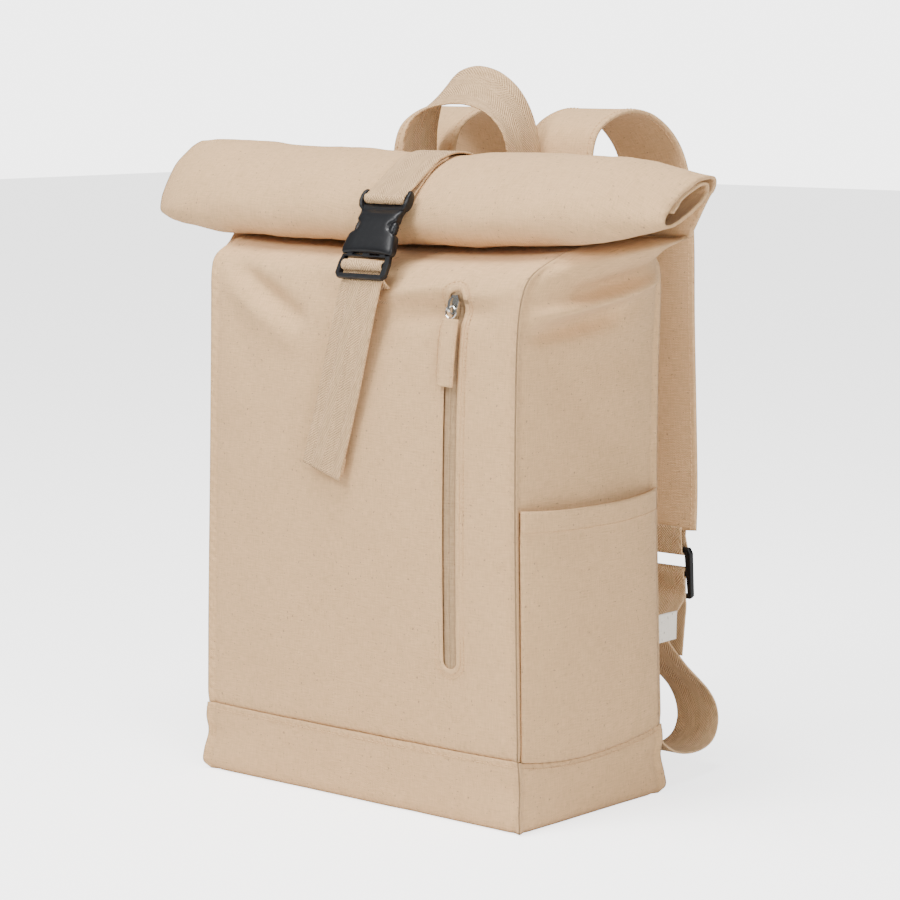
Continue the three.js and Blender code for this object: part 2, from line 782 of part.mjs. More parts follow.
function zipRing() {
  const geometry = new THREE.TorusGeometry(ringRadius, ringWire, 8, 24);
  geometry.translate(0, -ringRadius, 0);
  return geometry;
}

function zipPuller() {
  const hole = ringWire + seamGap;
  const thick = 2 * hole + pullerThickness;
  const flatHalf = pullerThickness / 2;
  const ringBottom = -2 * ringRadius;
  const head = ringBottom + hole + pullerThickness / 2;
  const foot = head - pullerLength;
  const flatTop = head - 3 * thick;
  const wide = pullerWidth / 2;
  const around = new THREE.TorusGeometry(ringRadius, hole, 8, 24);
  around.translate(0, -ringRadius, 0);
  const made = box(-wide, wide, foot, head, -thick / 2, thick / 2)
    .subtract(box(-pullerWidth, pullerWidth, foot - 1, flatTop, flatHalf, thick))
    .subtract(box(-pullerWidth, pullerWidth, foot - 1, flatTop, -thick, -flatHalf))
    .subtract(solid(around))
    .subtract(box(-ringRadius, ringRadius, ringBottom + hole, head + 1, -hole, hole));
  return geometryOf(made);
}

// The grab handle rises from the back, turning its width from across the bag to front-to-back.
function grabHandle() {
  const rows = [];
  const sewn = 0.955 * neckHeight;
  const side = [];
  for (const share of [-1, -0.75, -0.5, -0.25, 0]) {
    side.push({ at: onBack(handleSpread, sewn + share * handleSewing, touching + seamGap), turn: 0 });
  }
  const lift = table(
    ["rise", "y", "turn"],
    [
      [0.03, 1.3, 8],
      [0.16, 1.12, 24],
      [0.34, 1.02, 48],
      [0.52, 1.0, 72],
      [0.66, 1.0, 90],
    ],
  );
  for (const row of lift) {
    const z = mix(neckHeight, handleTop - handleSpread, row.rise / 0.66);
    side.push({ at: vector(handleSpread, row.y * handleY, z), turn: row.turn });
  }
  const wideAt = (turn, s) => vector(-s * Math.cos(radians(turn)), Math.sin(radians(turn)), 0);
  side.forEach((p) => rows.push({ at: p.at.clone(), wide: wideAt(p.turn, 1) }));
  const arcSteps = 10;
  for (let i = 1; i < arcSteps; i++) {
    const a = (Math.PI * i) / arcSteps;
    const tilt = radians(handleTurn) * Math.sin(a) ** 1.5;
    rows.push({
      at: vector(handleSpread * Math.cos(a), handleY - 4 * Math.sin(a), handleTop - handleSpread * (1 - Math.sin(a))),
      wide: vector(0, Math.cos(tilt), Math.sin(tilt)),
    });
  }
  [...side].reverse().forEach((p) => {
    rows.push({ at: p.at.clone().setX(-p.at.x), wide: wideAt(p.turn, -1) });
  });
  return ribbon(route(rows.map((r) => r.at), rows.map((r) => r.wide)), webbingWidth, webbingThickness);
}

// The shoulder strap: rise is a share of its height, back of its reach behind the bag, flare of its flare.
const strapRows = table(
  ["rise", "back", "flare"],
  [
    [0.8, -0.13, 0.0],
    [0.885, -0.17, 0.0],
    [0.95, -0.09, 0.0],
    [0.985, 0.12, 0.02],
    [1.0, 0.4, 0.08],
    [0.98, 0.68, 0.2],
    [0.92, 0.9, 0.4],
    [0.83, 0.99, 0.58],
    [0.7, 1.0, 0.68],
    [0.5, 0.99, 0.74],
    [0.25, 0.98, 0.84],
    [0.1, 0.95, 0.93],
    [0.0, 0.9, 1.0],
  ],
);
const strapBase = 0.945 * neckHeight;
const overHandle = touching + half + layerGap + strapThickness / 2 + 1.2;

function strapPoints() {
  const points = [-1, -0.8, -0.6, -0.4, -0.2, 0].map((share) => {
    return onBack(strapCentreX, strapBase + share * strapSewing, overHandle);
  });
  for (const row of strapRows) {
    points.push(
      vector(
        strapCentreX + row.flare * strapFlare,
        halfDepth + row.back * strapReach,
        strapBottom + row.rise * (strapTop - strapBottom),
      ),
    );
  }
  return points;
}

function shoulderStrap() {
  const rows = route(strapPoints(), strapPoints().map(() => acrossX));
  return ribbon(rows, strapWidth, strapThickness);
}

// The adjuster: three bars in a frame. Its origin is the middle bar.
const strapEnd = { x: strapCentreX + strapFlare, y: halfDepth + 0.9 * strapReach, z: strapBottom };
const adjusterPitch = (adjusterLength - barWidth) / 2;
const adjusterDrop = loopLength + adjusterPitch - turnRadius;

function adjusterFrame() {
  const lean = radians(adjusterLean);
  const down = adjusterDrop - 6;
  return leaning(
    vector(strapEnd.x, strapEnd.y - down * Math.sin(lean), strapEnd.z - down * Math.cos(lean)),
    adjusterLean,
  );
}

function strapAdjuster() {
  const wide = adjusterWidth / 2;
  const long = adjusterLength / 2;
  const shape = outline([
    [-wide, long * 0.8],
    [-wide * 0.92, -long * 0.9],
    [-wide * 0.84, -long],
    [wide * 0.84, -long],
    [wide * 0.92, -long * 0.9],
    [wide, long * 0.8],
    [wide * 0.92, long],
    [-wide * 0.92, long],
  ]);
  const made = plate(shape, adjusterThickness, 0.6)
    .subtract(ladderWindow(barHalf, long - barWidth))
    .subtract(ladderWindow(-barHalf, barWidth - long));
  return geometryOf(made);
}

// The webbing loop at the strap's end goes round the adjuster's top bar.
function strapLoop(frame) {
  const top = adjusterPitch;
  const sewn = strapPoints().slice(-2);
  const inner = strapThickness / 2 + touching;
  const points = [];
  const upper = vector(sewn[0].x, sewn[0].y + inner, sewn[0].z);
  const end = vector(sewn[1].x, sewn[1].y + inner, sewn[1].z);
  points.push(upper.lerp(end, 0.35), end.clone(), end.clone().add(vector(0, -0.2, -3)));
  const around = adjusterThickness / 2 + half + seamGap + 0.5;
  for (const turn of [150, 190, 230, 270, 310, 350, 30]) {
    const a = radians(turn);
    points.push(frame.point(0, top + around * Math.sin(a), around * Math.cos(a)));
  }
  points.push(vector(end.x, sewn[1].y - inner, end.z - 1));
  points.push(vector(end.x, sewn[1].y - inner, end.z + 4));
  const straight = points.map((p) => p.setX(strapEnd.x));
  return ribbon(route(straight, straight.map(() => acrossX)), webbingWidth, webbingThickness);
}

// The lower webbing leaves the base corner, bows out behind and comes up to the adjuster, and its tail hangs.
const lowerRows = table(
  ["back", "height", "in"],
  [
    [0.0, 0.9, 0.0],
    [0.25, 0.58, 0.05],
    [0.6, 0.46, 0.15],
    [0.88, 0.56, 0.25],
    [1.0, 0.9, 0.35],
    [0.94, 1.35, 0.5],
    [0.63, 1.95, 0.65],
    [0.5, 2.45, 0.85],
  ],
);

function lowerWebbing(frame) {
  const anchorX = halfWidth - webbingWidth / 2 - 2;
  const points = [onBack(anchorX, lowerAnchorHeight + 14, touching + layerGap)];
  for (const row of lowerRows) {
    points.push(
      vector(
        mix(anchorX, strapEnd.x, row.in),
        halfDepth + 3 + row.back * lowerReach,
        lowerAnchorHeight * row.height,
      ),
    );
  }
  const r = adjusterThickness / 2 + half + seamGap + 0.5;
  const behind = adjusterThickness / 2 + half + layerGap;
  points.push(frame.point(0, -adjusterPitch, behind + webbingThickness + layerGap));
  for (const turn of [-20, 20, 60, 100, 140, 180, 220, 260, 295]) {
    const a = radians(turn);
    points.push(frame.point(0, r * Math.sin(a), r * Math.cos(a)));
  }
  points.push(frame.point(0, -adjusterPitch, behind));
  const hang = frame.point(0, -adjusterPitch - 6, behind);
  for (const share of [0, 0.3, 0.65, 1]) {
    points.push(vector(hang.x, hang.y - share * lowerTail * 0.12, hang.z - share * lowerTail));
  }
  return ribbon(route(points, points.map(() => acrossX)), webbingWidth, webbingThickness);
}

// A plain label folded into the rear seam.
function sideLabel() {
  const seam = sectionAt(labelBottom + labelHeight / 2);
  const geometry = new THREE.BoxGeometry(labelThickness, labelWidth, labelHeight);
  const y = seam.backSeam + seamGap + labelWidth / 2;
  geometry.translate(seam.seamX - labelThickness, y, labelBottom + labelHeight / 2);
  return geometry;
}

add("body_shell", bodyShell(), canvas);
add("base_boot", baseBoot(), canvas);
add("side_pocket_right", sidePocket(1), canvas);
add("side_pocket_left", sidePocket(-1), canvas);
add("rolled_top", rolledTop(), canvas);
add("closure_strap", closureStrap(), webbing);
add("closure_tail", closureTail(), webbing);
buckle.group.add(add("buckle_socket", buckleSocket(), blackPlastic));
buckle.group.add(add("buckle_prong", buckleProng(), blackPlastic));
add("zip_tape", zipTape(), tapeCloth);
slider.group.add(add("zip_slider", zipSlider(), nickel));
pull.group.add(add("zip_ring", zipRing(), nickel));
pull.group.add(add("zip_puller", zipPuller(), canvas));
add("grab_handle", grabHandle(), webbing);
const adjuster = adjusterFrame();
const carried = [
  ["shoulder_strap", shoulderStrap(), canvas],
  ["strap_adjuster", strapAdjuster().applyMatrix4(adjuster.group.matrixWorld), blackPlastic],
  ["strap_loop", strapLoop(adjuster), webbing],
  ["lower_webbing", lowerWebbing(adjuster), webbing],
];
for (const [name, geometry, material] of carried) {
  add(`${name}_right`, geometry, material);
  add(`${name}_left`, mirroredGeometry(geometry), material);
}
add("side_label", sideLabel(), labelCloth);

export default model;
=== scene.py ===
# A rolltop backpack of undyed canvas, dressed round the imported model. Every length is in metres, in the packed
# model's frame: +Z up, +X to the right of someone who faces the zip pocket, +Y towards the wearer's back.

import logging
import math
from collections.abc import Callable, Sequence
from dataclasses import dataclass, field
from enum import Enum
from typing import NamedTuple

import bpy
import numpy as np
from mathutils import Matrix, Vector, noise

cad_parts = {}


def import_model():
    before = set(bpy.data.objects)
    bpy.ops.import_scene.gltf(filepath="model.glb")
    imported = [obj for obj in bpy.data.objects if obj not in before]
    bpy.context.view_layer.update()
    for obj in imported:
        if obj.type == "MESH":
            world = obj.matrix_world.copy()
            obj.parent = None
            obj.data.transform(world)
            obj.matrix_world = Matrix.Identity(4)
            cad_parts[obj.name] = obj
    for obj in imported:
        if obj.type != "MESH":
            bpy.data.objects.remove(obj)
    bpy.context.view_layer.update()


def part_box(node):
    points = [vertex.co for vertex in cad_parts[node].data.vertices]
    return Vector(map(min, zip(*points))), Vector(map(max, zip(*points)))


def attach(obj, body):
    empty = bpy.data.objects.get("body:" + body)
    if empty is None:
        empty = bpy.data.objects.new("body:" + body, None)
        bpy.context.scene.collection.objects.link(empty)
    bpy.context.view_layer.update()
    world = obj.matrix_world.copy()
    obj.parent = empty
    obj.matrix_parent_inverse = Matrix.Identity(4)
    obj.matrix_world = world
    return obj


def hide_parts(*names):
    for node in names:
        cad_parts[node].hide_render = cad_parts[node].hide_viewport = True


LOG = logging.getLogger("backpack")
MM = 0.001
SEED = 7


class Face(Enum):
    """Which side of a strip of cloth carries a row of stitches."""

    FRONT = 1
    BACK = -1


class Row(NamedTuple):
    """One cross-section of a strip: its middle, the way its width runs, its face and its width's scale."""

    at: np.ndarray
    wide: np.ndarray
    normal: np.ndarray
    scale: float = 1.0


def vec(*values: float) -> np.ndarray:
    """A point or a direction as a float array."""
    return np.array(values, dtype=float)


def unit(v: np.ndarray) -> np.ndarray:
    """The vector at length one."""
    return v / max(np.linalg.norm(v), 1e-12)


def mix(a: float, b: float, t: float) -> float:
    """The value a share t of the way from a to b."""
    return a + (b - a) * t


def ease(t: float) -> float:
    """A smooth step from 0 to 1."""
    t = min(1.0, max(0.0, t))
    return t * t * (3 - 2 * t)


@dataclass(frozen=True)
class Table:
    """Sections with named columns, read by a smooth curve through the first column."""

    columns: tuple[str, ...]
    rows: tuple[tuple[float, ...], ...]

    def read(self, column: str, at: float) -> float:
        """The column's value at a place along the first column.

        Args:
            column: the column's name.
            at: a value of the first column.

        Returns:
            The value on a smooth curve through the rows.
        """
        c = self.columns.index(column)
        last = len(self.rows) - 1
        i = 0
        while i < last - 1 and at > self.rows[i + 1][0]:
            i += 1

        def slope(j: int) -> float:
            low, high = self.rows[max(0, j - 1)], self.rows[min(last, j + 1)]
            return (high[c] - low[c]) / (high[0] - low[0])

        span = self.rows[i + 1][0] - self.rows[i][0]
        t = min(1.0, max(0.0, (at - self.rows[i][0]) / span))
        a, b = self.rows[i][c], self.rows[i + 1][c]
        ma, mb = slope(i) * span, slope(i + 1) * span
        return (
            a * (2 * t**3 - 3 * t**2 + 1)
            + ma * (t**3 - 2 * t**2 + t)
            + b * (3 * t**2 - 2 * t**3)
            + mb * (t**3 - t**2)
        )


@dataclass(frozen=True)
class Fold:
    """A dent or ridge along a line on a panel: depth is outwards, and negative for a dent."""

    x0: float
    z0: float
    x1: float
    z1: float
    width: float
    depth: float

    def at(self, x: float, z: float) -> float:
        """The height that the fold adds at a point of the panel."""
        dx, dz = self.x1 - self.x0, self.z1 - self.z0
        t = ((x - self.x0) * dx + (z - self.z0) * dz) / (dx * dx + dz * dz)
        t = min(1.0, max(0.0, t))
        away = math.hypot(x - self.x0 - t * dx, z - self.z0 - t * dz)
        taper = 0.35 + 0.65 * math.sin(math.pi * min(1.0, max(0.0, 0.12 + 0.76 * t)))
        return self.depth * taper * math.exp(-((away / self.width) ** 2))


# Meshes


@dataclass
class ClothMesh:
    """Points, faces and the cloth's own measure, gathered into one mesh object."""

    points: list[np.ndarray] = field(default_factory=list)
    faces: list[tuple[int, ...]] = field(default_factory=list)
    cloth: list[tuple[float, float, float]] = field(default_factory=list)

    def grid(
        self,
        rows: Sequence[Sequence[np.ndarray]],
        cloth: Sequence[Sequence[tuple[float, float, float]]],
        wrap: bool = False,
        keep: Callable[[int, int], bool] | None = None,
    ) -> list[list[int]]:
        """Adds a grid of quads.

        Args:
            rows: the points, row by row.
            cloth: for each point, its place on the cloth (across, along) and how near a seam it is.
            wrap: whether each row closes on itself.
            keep: tells which quads are made.

        Returns:
            The point numbers, row by row.
        """
        number = []
        for r, row in enumerate(rows):
            number.append([len(self.points) + i for i in range(len(row))])
            self.points.extend(row)
            self.cloth.extend(cloth[r])
        count = len(rows[0])
        for r in range(len(rows) - 1):
            for i in range(count if wrap else count - 1):
                j = (i + 1) % count
                if keep is None or keep(r, i):
                    self.faces.append((number[r][i], number[r][j], number[r + 1][j], number[r + 1][i]))
        return number

    def build(self, name: str, material: bpy.types.Material, slot: str, *replaced: str) -> bpy.types.Object:
        """Makes the object, gives it its material, and rides it on the body.

        Args:
            name: the piece's name.
            material: its finish.
            slot: not used.
            *replaced: the nodes that it stands for.

        Returns:
            The object.
        """
        mesh = bpy.data.meshes.new(name)
        mesh.from_pydata([tuple(p) for p in self.points], [], self.faces)
        mesh.validate()
        store = mesh.attributes.new("cloth", "FLOAT_VECTOR", "POINT")
        store.data.foreach_set("vector", np.array(self.cloth, dtype=np.float32).ravel())
        mesh.polygons.foreach_set("use_smooth", [True] * len(mesh.polygons))
        piece = bpy.data.objects.new(name, mesh)
        bpy.context.scene.collection.objects.link(piece)
        mesh.materials.append(material)
        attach(piece, "root")
        if replaced:
            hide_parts(*replaced)
        return piece


def shell(
    mesh: ClothMesh,
    rows: list[list[np.ndarray]],
    cloth: list[list[tuple[float, float, float]]],
    wall: float,
    wrap: bool = False,
    outward: float = 1.0,
    keep: Callable[[int, int], bool] | None = None,
) -> list[list[np.ndarray]]:
    """Adds a sheet of cloth with both its faces and its edges.

    Args:
        mesh: the mesh to add to.
        rows: the outer face's points.
        cloth: the cloth's measure at each point.
        wall: the cloth's thickness.
        wrap: whether each row closes on itself.
        outward: 1 where row cross column points out of the cloth, and -1 where it points in.
        keep: tells which quads are made.

    Returns:
        The normal at each point of the outer face.
    """
    p = np.array(rows)
    along = np.gradient(p, axis=0)
    if wrap:
        across = np.roll(p, -1, axis=1) - np.roll(p, 1, axis=1)
    else:
        across = np.gradient(p, axis=1)
    normal = np.cross(across, along) * outward
    normal /= np.maximum(np.linalg.norm(normal, axis=2, keepdims=True), 1e-12)
    inner = p - normal * wall
    outer_ids = mesh.grid(rows, cloth, wrap, keep)
    inner_ids = mesh.grid([list(r) for r in inner], cloth, wrap, keep)
    count = len(rows[0])
    for ids, far, step in ((outer_ids[0], inner_ids[0], 1), (outer_ids[-1], inner_ids[-1], -1)):
        for i in range(count if wrap else count - 1):
            j = (i + 1) % count
            a, b = (i, j) if step > 0 else (j, i)
            mesh.faces.append((far[a], far[b], ids[b], ids[a]))
    if not wrap:
        for r in range(len(rows) - 1):
            mesh.faces.append((outer_ids[r][0], outer_ids[r + 1][0], inner_ids[r + 1][0], inner_ids[r][0]))
            mesh.faces.append((inner_ids[r][-1], inner_ids[r + 1][-1], outer_ids[r + 1][-1], outer_ids[r][-1]))
    flip_inner(mesh, inner_ids, wrap)
    return normal


def flip_inner(mesh: ClothMesh, ids: list[list[int]], wrap: bool) -> None:
    """Turns round the faces that lie wholly among these points, so that they look inwards."""
    low, high = ids[0][0], ids[-1][-1]
    mesh.faces[:] = [
        tuple(reversed(f)) if all(low <= i <= high for i in f) else f for f in mesh.faces
    ]


def smooth_route(points: Sequence[np.ndarray], step: float) -> list[np.ndarray]:
    """A smooth, evenly stepped path through chosen points.

    Args:
        points: the points.
        step: the length of a step.

    Returns:
        The path's points.
    """
    p = np.array(points)
    p = np.vstack([2 * p[0] - p[1], p, 2 * p[-1] - p[-2]])
    fine = []
    for i in range(1, len(p) - 2):
        for t in np.linspace(0, 1, 24, endpoint=False):
            a = 2 * p[i]
            b = (p[i + 1] - p[i - 1]) * t
            c = (2 * p[i - 1] - 5 * p[i] + 4 * p[i + 1] - p[i + 2]) * t * t
            d = (-p[i - 1] + 3 * p[i] - 3 * p[i + 1] + p[i + 2]) * t**3
            fine.append((a + b + c + d) / 2)
    fine.append(p[-2])
    q = np.array(fine)
    s = np.concatenate([[0], np.cumsum(np.linalg.norm(np.diff(q, axis=0), axis=1))])
    count = max(2, round(s[-1] / step))
    at = np.linspace(0, s[-1], count + 1)
    return [vec(*(np.interp(v, s, q[:, k]) for k in range(3))) for v in at]


def strip_rows(
    points: Sequence[np.ndarray],
    wides: Sequence[np.ndarray],
    step: float = 2.0 * MM,
) -> list[Row]:
    """Rows of a strip that follows points, with its width as near as can be to the given directions.

    Args:
        points: chosen points of its middle line.
        wides: the way that its width runs at each.
        step: the length between rows.

    Returns:
        The rows.
    """
    path = smooth_route(points, step)
    chosen = np.array(points)
    lengths = np.concatenate([[0], np.cumsum(np.linalg.norm(np.diff(chosen, axis=0), axis=1))])
    rows = []
    for i, at in enumerate(path):
        s = lengths[-1] * i / (len(path) - 1)
        wide = vec(*(np.interp(s, lengths, [w[k] for w in wides]) for k in range(3)))
        ahead = path[min(i + 1, len(path) - 1)] - path[max(i - 1, 0)]
        along = unit(ahead)
        wide = unit(wide - along * float(wide @ along))
        rows.append(Row(at, wide, np.cross(along, wide)))
    return rows


def strip(mesh: ClothMesh, rows: list[Row], width: float, thickness: float, across: int = 12) -> None:
    """Adds a flat strip with rounded edges.

    Args:
        mesh: the mesh to add to.
        rows: its sections.
        width: its width.
        thickness: its thickness.
        across: the number of spans over its width.
    """
    half, edge = width / 2, thickness / 2
    profile: list[tuple[float, float]] = []
    for i in range(across + 1):
        profile.append((mix(-half + edge, half - edge, i / across), edge))
    profile += [(half - edge + edge * math.cos(a), edge * math.sin(a)) for a in (0.9, 0.0, -0.9)]
    for i in range(across + 1):
        profile.append((mix(half - edge, -half + edge, i / across), -edge))
    profile += [(-half + edge - edge * math.cos(a), -edge * math.sin(a)) for a in (0.9, 0.0, -0.9)]
    points, cloth, length = [], [], 0.0
    for r, row in enumerate(rows):
        if r:
            length += float(np.linalg.norm(row.at - rows[r - 1].at))
        points.append([row.at + row.wide * a * row.scale + row.normal * b for a, b in profile])
        # The last 4 mm at each edge count as near a seam, so painted shade darkens the strip's edges.
        cloth.append([(a, length, 1 - min(1.0, (half - abs(a)) / (4 * MM))) for a, _ in profile])
    ids = mesh.grid(points, cloth, wrap=True)
    mesh.faces.append(tuple(reversed(ids[0])))
    mesh.faces.append(tuple(ids[-1]))


@dataclass(frozen=True)
class Thread:
    """A sewing thread and its stitch."""

    pitch: float = 3.4 * MM
    length: float = 2.7 * MM
    radius: float = 0.32 * MM

    def sew(self, mesh: ClothMesh, path: Sequence[np.ndarray], normals: Sequence[np.ndarray]) -> None:
        """Adds a row of stitches along a path that lies on a surface.

        Args:
            mesh: the mesh to add to.
            path: points along the row.
            normals: the surface's normal at each.
        """
        p, n = np.array(path), np.array(normals)
        s = np.concatenate([[0], np.cumsum(np.linalg.norm(np.diff(p, axis=0), axis=1))])
        count = int(s[-1] / self.pitch)
        for k in range(count):
            middle = (k + 0.5) * s[-1] / count

            def place(d: float, q: np.ndarray = p) -> np.ndarray:
                return vec(*(np.interp(middle + d, s, q[:, c]) for c in range(3)))

            up = unit(place(0.0, n))
            ends = [place(d * self.length / 2) for d in (-1, 1)]
            along = unit(ends[1] - ends[0])
            side = np.cross(along, up)
            rings = []
            for share, size in ((-1.0, 0.25), (-0.6, 0.9), (0.0, 1.1), (0.6, 0.9), (1.0, 0.25)):
                centre = place(share * self.length / 2) + up * self.radius * (0.9 * size - 0.45)
                rings.append(
                    [
                        centre + (side * math.cos(a) + up * math.sin(a)) * self.radius * size
                        for a in np.linspace(0, 2 * math.pi, 6, endpoint=False)
                    ]
                )
            measure = [[(0.0, middle, 0.0)] * 6 for _ in rings]
            ids = mesh.grid(rings, measure, wrap=True)
            mesh.faces.append(tuple(reversed(ids[0])))
            mesh.faces.append(tuple(ids[-1]))


# Materials


class Nodes:
    """A small helper that adds and joins the nodes of one tree."""

    def __init__(self, tree: bpy.types.NodeTree) -> None:
        """Keeps the tree."""
        self.tree = tree

    def add(self, kind: str, **settings: object) -> bpy.types.Node:
        """A new node of that type, with properties set.

        Args:
            kind: the node's type name.
            **settings: property values.

        Returns:
            The node.
        """
        node = self.tree.nodes.new(kind)
        for key, value in settings.items():
            setattr(node, key, value)
        return node

    def join(self, source: bpy.types.NodeSocket, target: bpy.types.NodeSocket) -> None:
        """Joins two sockets."""
        self.tree.links.new(source, target)

    def math(self, operation: str, a: object, b: object = None, clamp: bool = False) -> bpy.types.NodeSocket:
        """The result of a Math node on sockets or numbers.

        Args:
            operation: the Math node's operation.
            a: the first socket or number.
            b: the second, if there is one.
            clamp: whether the result is kept from 0 to 1.

        Returns:
            The node's output.
        """
        node = self.add("ShaderNodeMath", operation=operation, use_clamp=clamp)
        for value, socket in zip((a, b), node.inputs):
            if isinstance(value, bpy.types.NodeSocket):
                self.join(value, socket)
            elif value is not None:
                socket.default_value = value
        return node.outputs[0]

    def cloth(self) -> tuple[bpy.types.NodeSocket, ...]:
        """The place on the cloth: across, along and nearness to a seam."""
        place = self.add("ShaderNodeAttribute", attribute_name="cloth")
        parts = self.add("ShaderNodeSeparateXYZ")
        self.join(place.outputs["Vector"], parts.inputs[0])
        return tuple(parts.outputs)

    def stretched_noise(self, scale: tuple[float, float], detail: float, shift: float) -> bpy.types.NodeSocket:
        """Noise on the cloth with its own scale across and along.

        Args:
            scale: cycles per metre across and along.
            detail: the noise's detail.
            shift: a distance that tells one layer from another.

        Returns:
            The noise's value.
        """
        place = self.add("ShaderNodeAttribute", attribute_name="cloth")
        turn = self.add("ShaderNodeMapping")
        turn.inputs["Scale"].default_value = (scale[0], scale[1], 0.0)
        turn.inputs["Location"].default_value = (shift, shift * 1.7, shift * 0.3)
        self.join(place.outputs["Vector"], turn.inputs["Vector"])
        cells = self.add("ShaderNodeTexNoise", noise_dimensions="3D")
        cells.inputs["Scale"].default_value = 1.0
        cells.inputs["Detail"].default_value = detail
        self.join(turn.outputs["Vector"], cells.inputs["Vector"])
        return cells.outputs["Fac"]


def group(name: str, inputs: dict[str, float], outputs: Sequence[str]) -> tuple[bpy.types.NodeTree, Nodes]:
    """A new shader node group with float inputs and outputs.

    Args:
        name: the group's name.
        inputs: each input's name and value.
        outputs: the outputs' names.

    Returns:
        The tree and a helper for it.
    """
    tree = bpy.data.node_groups.new(name, "ShaderNodeTree")
    for key, value in inputs.items():
        tree.interface.new_socket(name=key, in_out="INPUT", socket_type="NodeSocketFloat").default_value = value
    for key in outputs:
        tree.interface.new_socket(name=key, in_out="OUTPUT", socket_type="NodeSocketFloat")
    return tree, Nodes(tree)


def plain_weave_group() -> bpy.types.NodeTree:
    """Canvas: over-and-under yarns, thick and thin stretches of yarn, slubs and dark seed flecks."""
    tree, n = group(
        "canvas_weave",
        {"Yarns per metre": 1500.0, "Slub": 1.0},
        ("Height", "Tone", "Fleck"),
    )
    source, result = n.add("NodeGroupInput"), n.add("NodeGroupOutput")
    across, along, _ = n.cloth()
    waves = []
    for axis in (across, along):
        turns = n.math("MULTIPLY", axis, source.outputs["Yarns per metre"])
        waves.append(n.math("SINE", n.math("MULTIPLY", turns, math.pi)))
    over = n.math("MULTIPLY", waves[0], waves[1])
    warp = n.stretched_noise((1000.0, 120.0), 2.0, 0.0)
    weft = n.stretched_noise((120.0, 1000.0), 2.0, 3.1)
    slub = n.math("MULTIPLY", n.math("SUBTRACT", n.math("ADD", warp, weft), 1.0), source.outputs["Slub"])
    blotch = n.math("SUBTRACT", n.stretched_noise((60.0, 60.0), 3.0, 5.3), 0.5)
    height = n.math("ADD", n.math("MULTIPLY", over, 0.5), n.math("MULTIPLY", slub, 1.6))
    n.join(height, result.inputs["Height"])
    tone = n.math("ADD", n.math("MULTIPLY", slub, 1.25), n.math("MULTIPLY", blotch, 0.35))
    # Painted highlight and shade: the tone rises a little with the weave's over-and-under height.
    n.join(n.math("ADD", tone, n.math("MULTIPLY", over, 0.12)), result.inputs["Tone"])
    seeds = n.stretched_noise((420.0, 420.0), 1.0, 9.7)
    n.join(n.math("MULTIPLY", n.math("SUBTRACT", seeds, 0.70), 22.0, clamp=True), result.inputs["Fleck"])
    return tree


def twill_group() -> bpy.types.NodeTree:
    """Webbing: diagonal ribs that turn back at each column, and a plain bound edge."""
    tree, n = group("herringbone_twill", {"Rib": 2.1 * MM, "Column": 9.5 * MM}, ("Height", "Tone"))
    source, result = n.add("NodeGroupInput"), n.add("NodeGroupOutput")
    across, along, edge = n.cloth()
    zigzag = n.math("PINGPONG", across, source.outputs["Column"])
    turns = n.math("DIVIDE", n.math("ADD", along, zigzag), source.outputs["Rib"])
    rib = n.math("SINE", n.math("MULTIPLY", turns, 2 * math.pi))
    yarn = n.math("SINE", n.math("MULTIPLY", across, 2 * math.pi / (1.1 * MM)))
    calm = n.math("SUBTRACT", 1.0, n.math("MULTIPLY", edge, 0.6))
    height = n.math("ADD", n.math("MULTIPLY", rib, calm), n.math("MULTIPLY", yarn, 0.3))
    n.join(height, result.inputs["Height"])
    fuzz = n.math("SUBTRACT", n.stretched_noise((700.0, 120.0), 2.0, 2.2), 0.5)
    # Painted shade and highlight: the tone follows the ribs' height, darker in the valleys and lighter on the crests;
    # the fuzz is the yarn's own uneven tone.
    tone = n.math("ADD", n.math("MULTIPLY", height, 0.36), fuzz)
    n.join(tone, result.inputs["Tone"])
    return tree


def seam_pucker_and_shade_group() -> bpy.types.NodeTree:
    """Creases and seams: cloth near a seam is puckered, and painted a little darker there as painted shade."""
    tree, n = group("seam_pucker", {"Pitch": 7.0 * MM}, ("Mask", "Height"))
    source, result = n.add("NodeGroupInput"), n.add("NodeGroupOutput")
    across, along, seam = n.cloth()
    run = n.math("ADD", across, along)
    ripple = n.math("SINE", n.math("MULTIPLY", n.math("DIVIDE", run, source.outputs["Pitch"]), 2 * math.pi))
    drift = n.math("SUBTRACT", n.stretched_noise((110.0, 110.0), 2.0, 8.4), 0.5)
    height = n.math("MULTIPLY", n.math("ADD", n.math("MULTIPLY", ripple, 0.35), drift), seam)
    n.join(height, result.inputs["Height"])
    # Painted shade: the mask darkens the cloth near a seam, more where the drift noise is high.
    n.join(n.math("MULTIPLY", seam, n.math("ADD", 0.6, drift)), result.inputs["Mask"])
    return tree


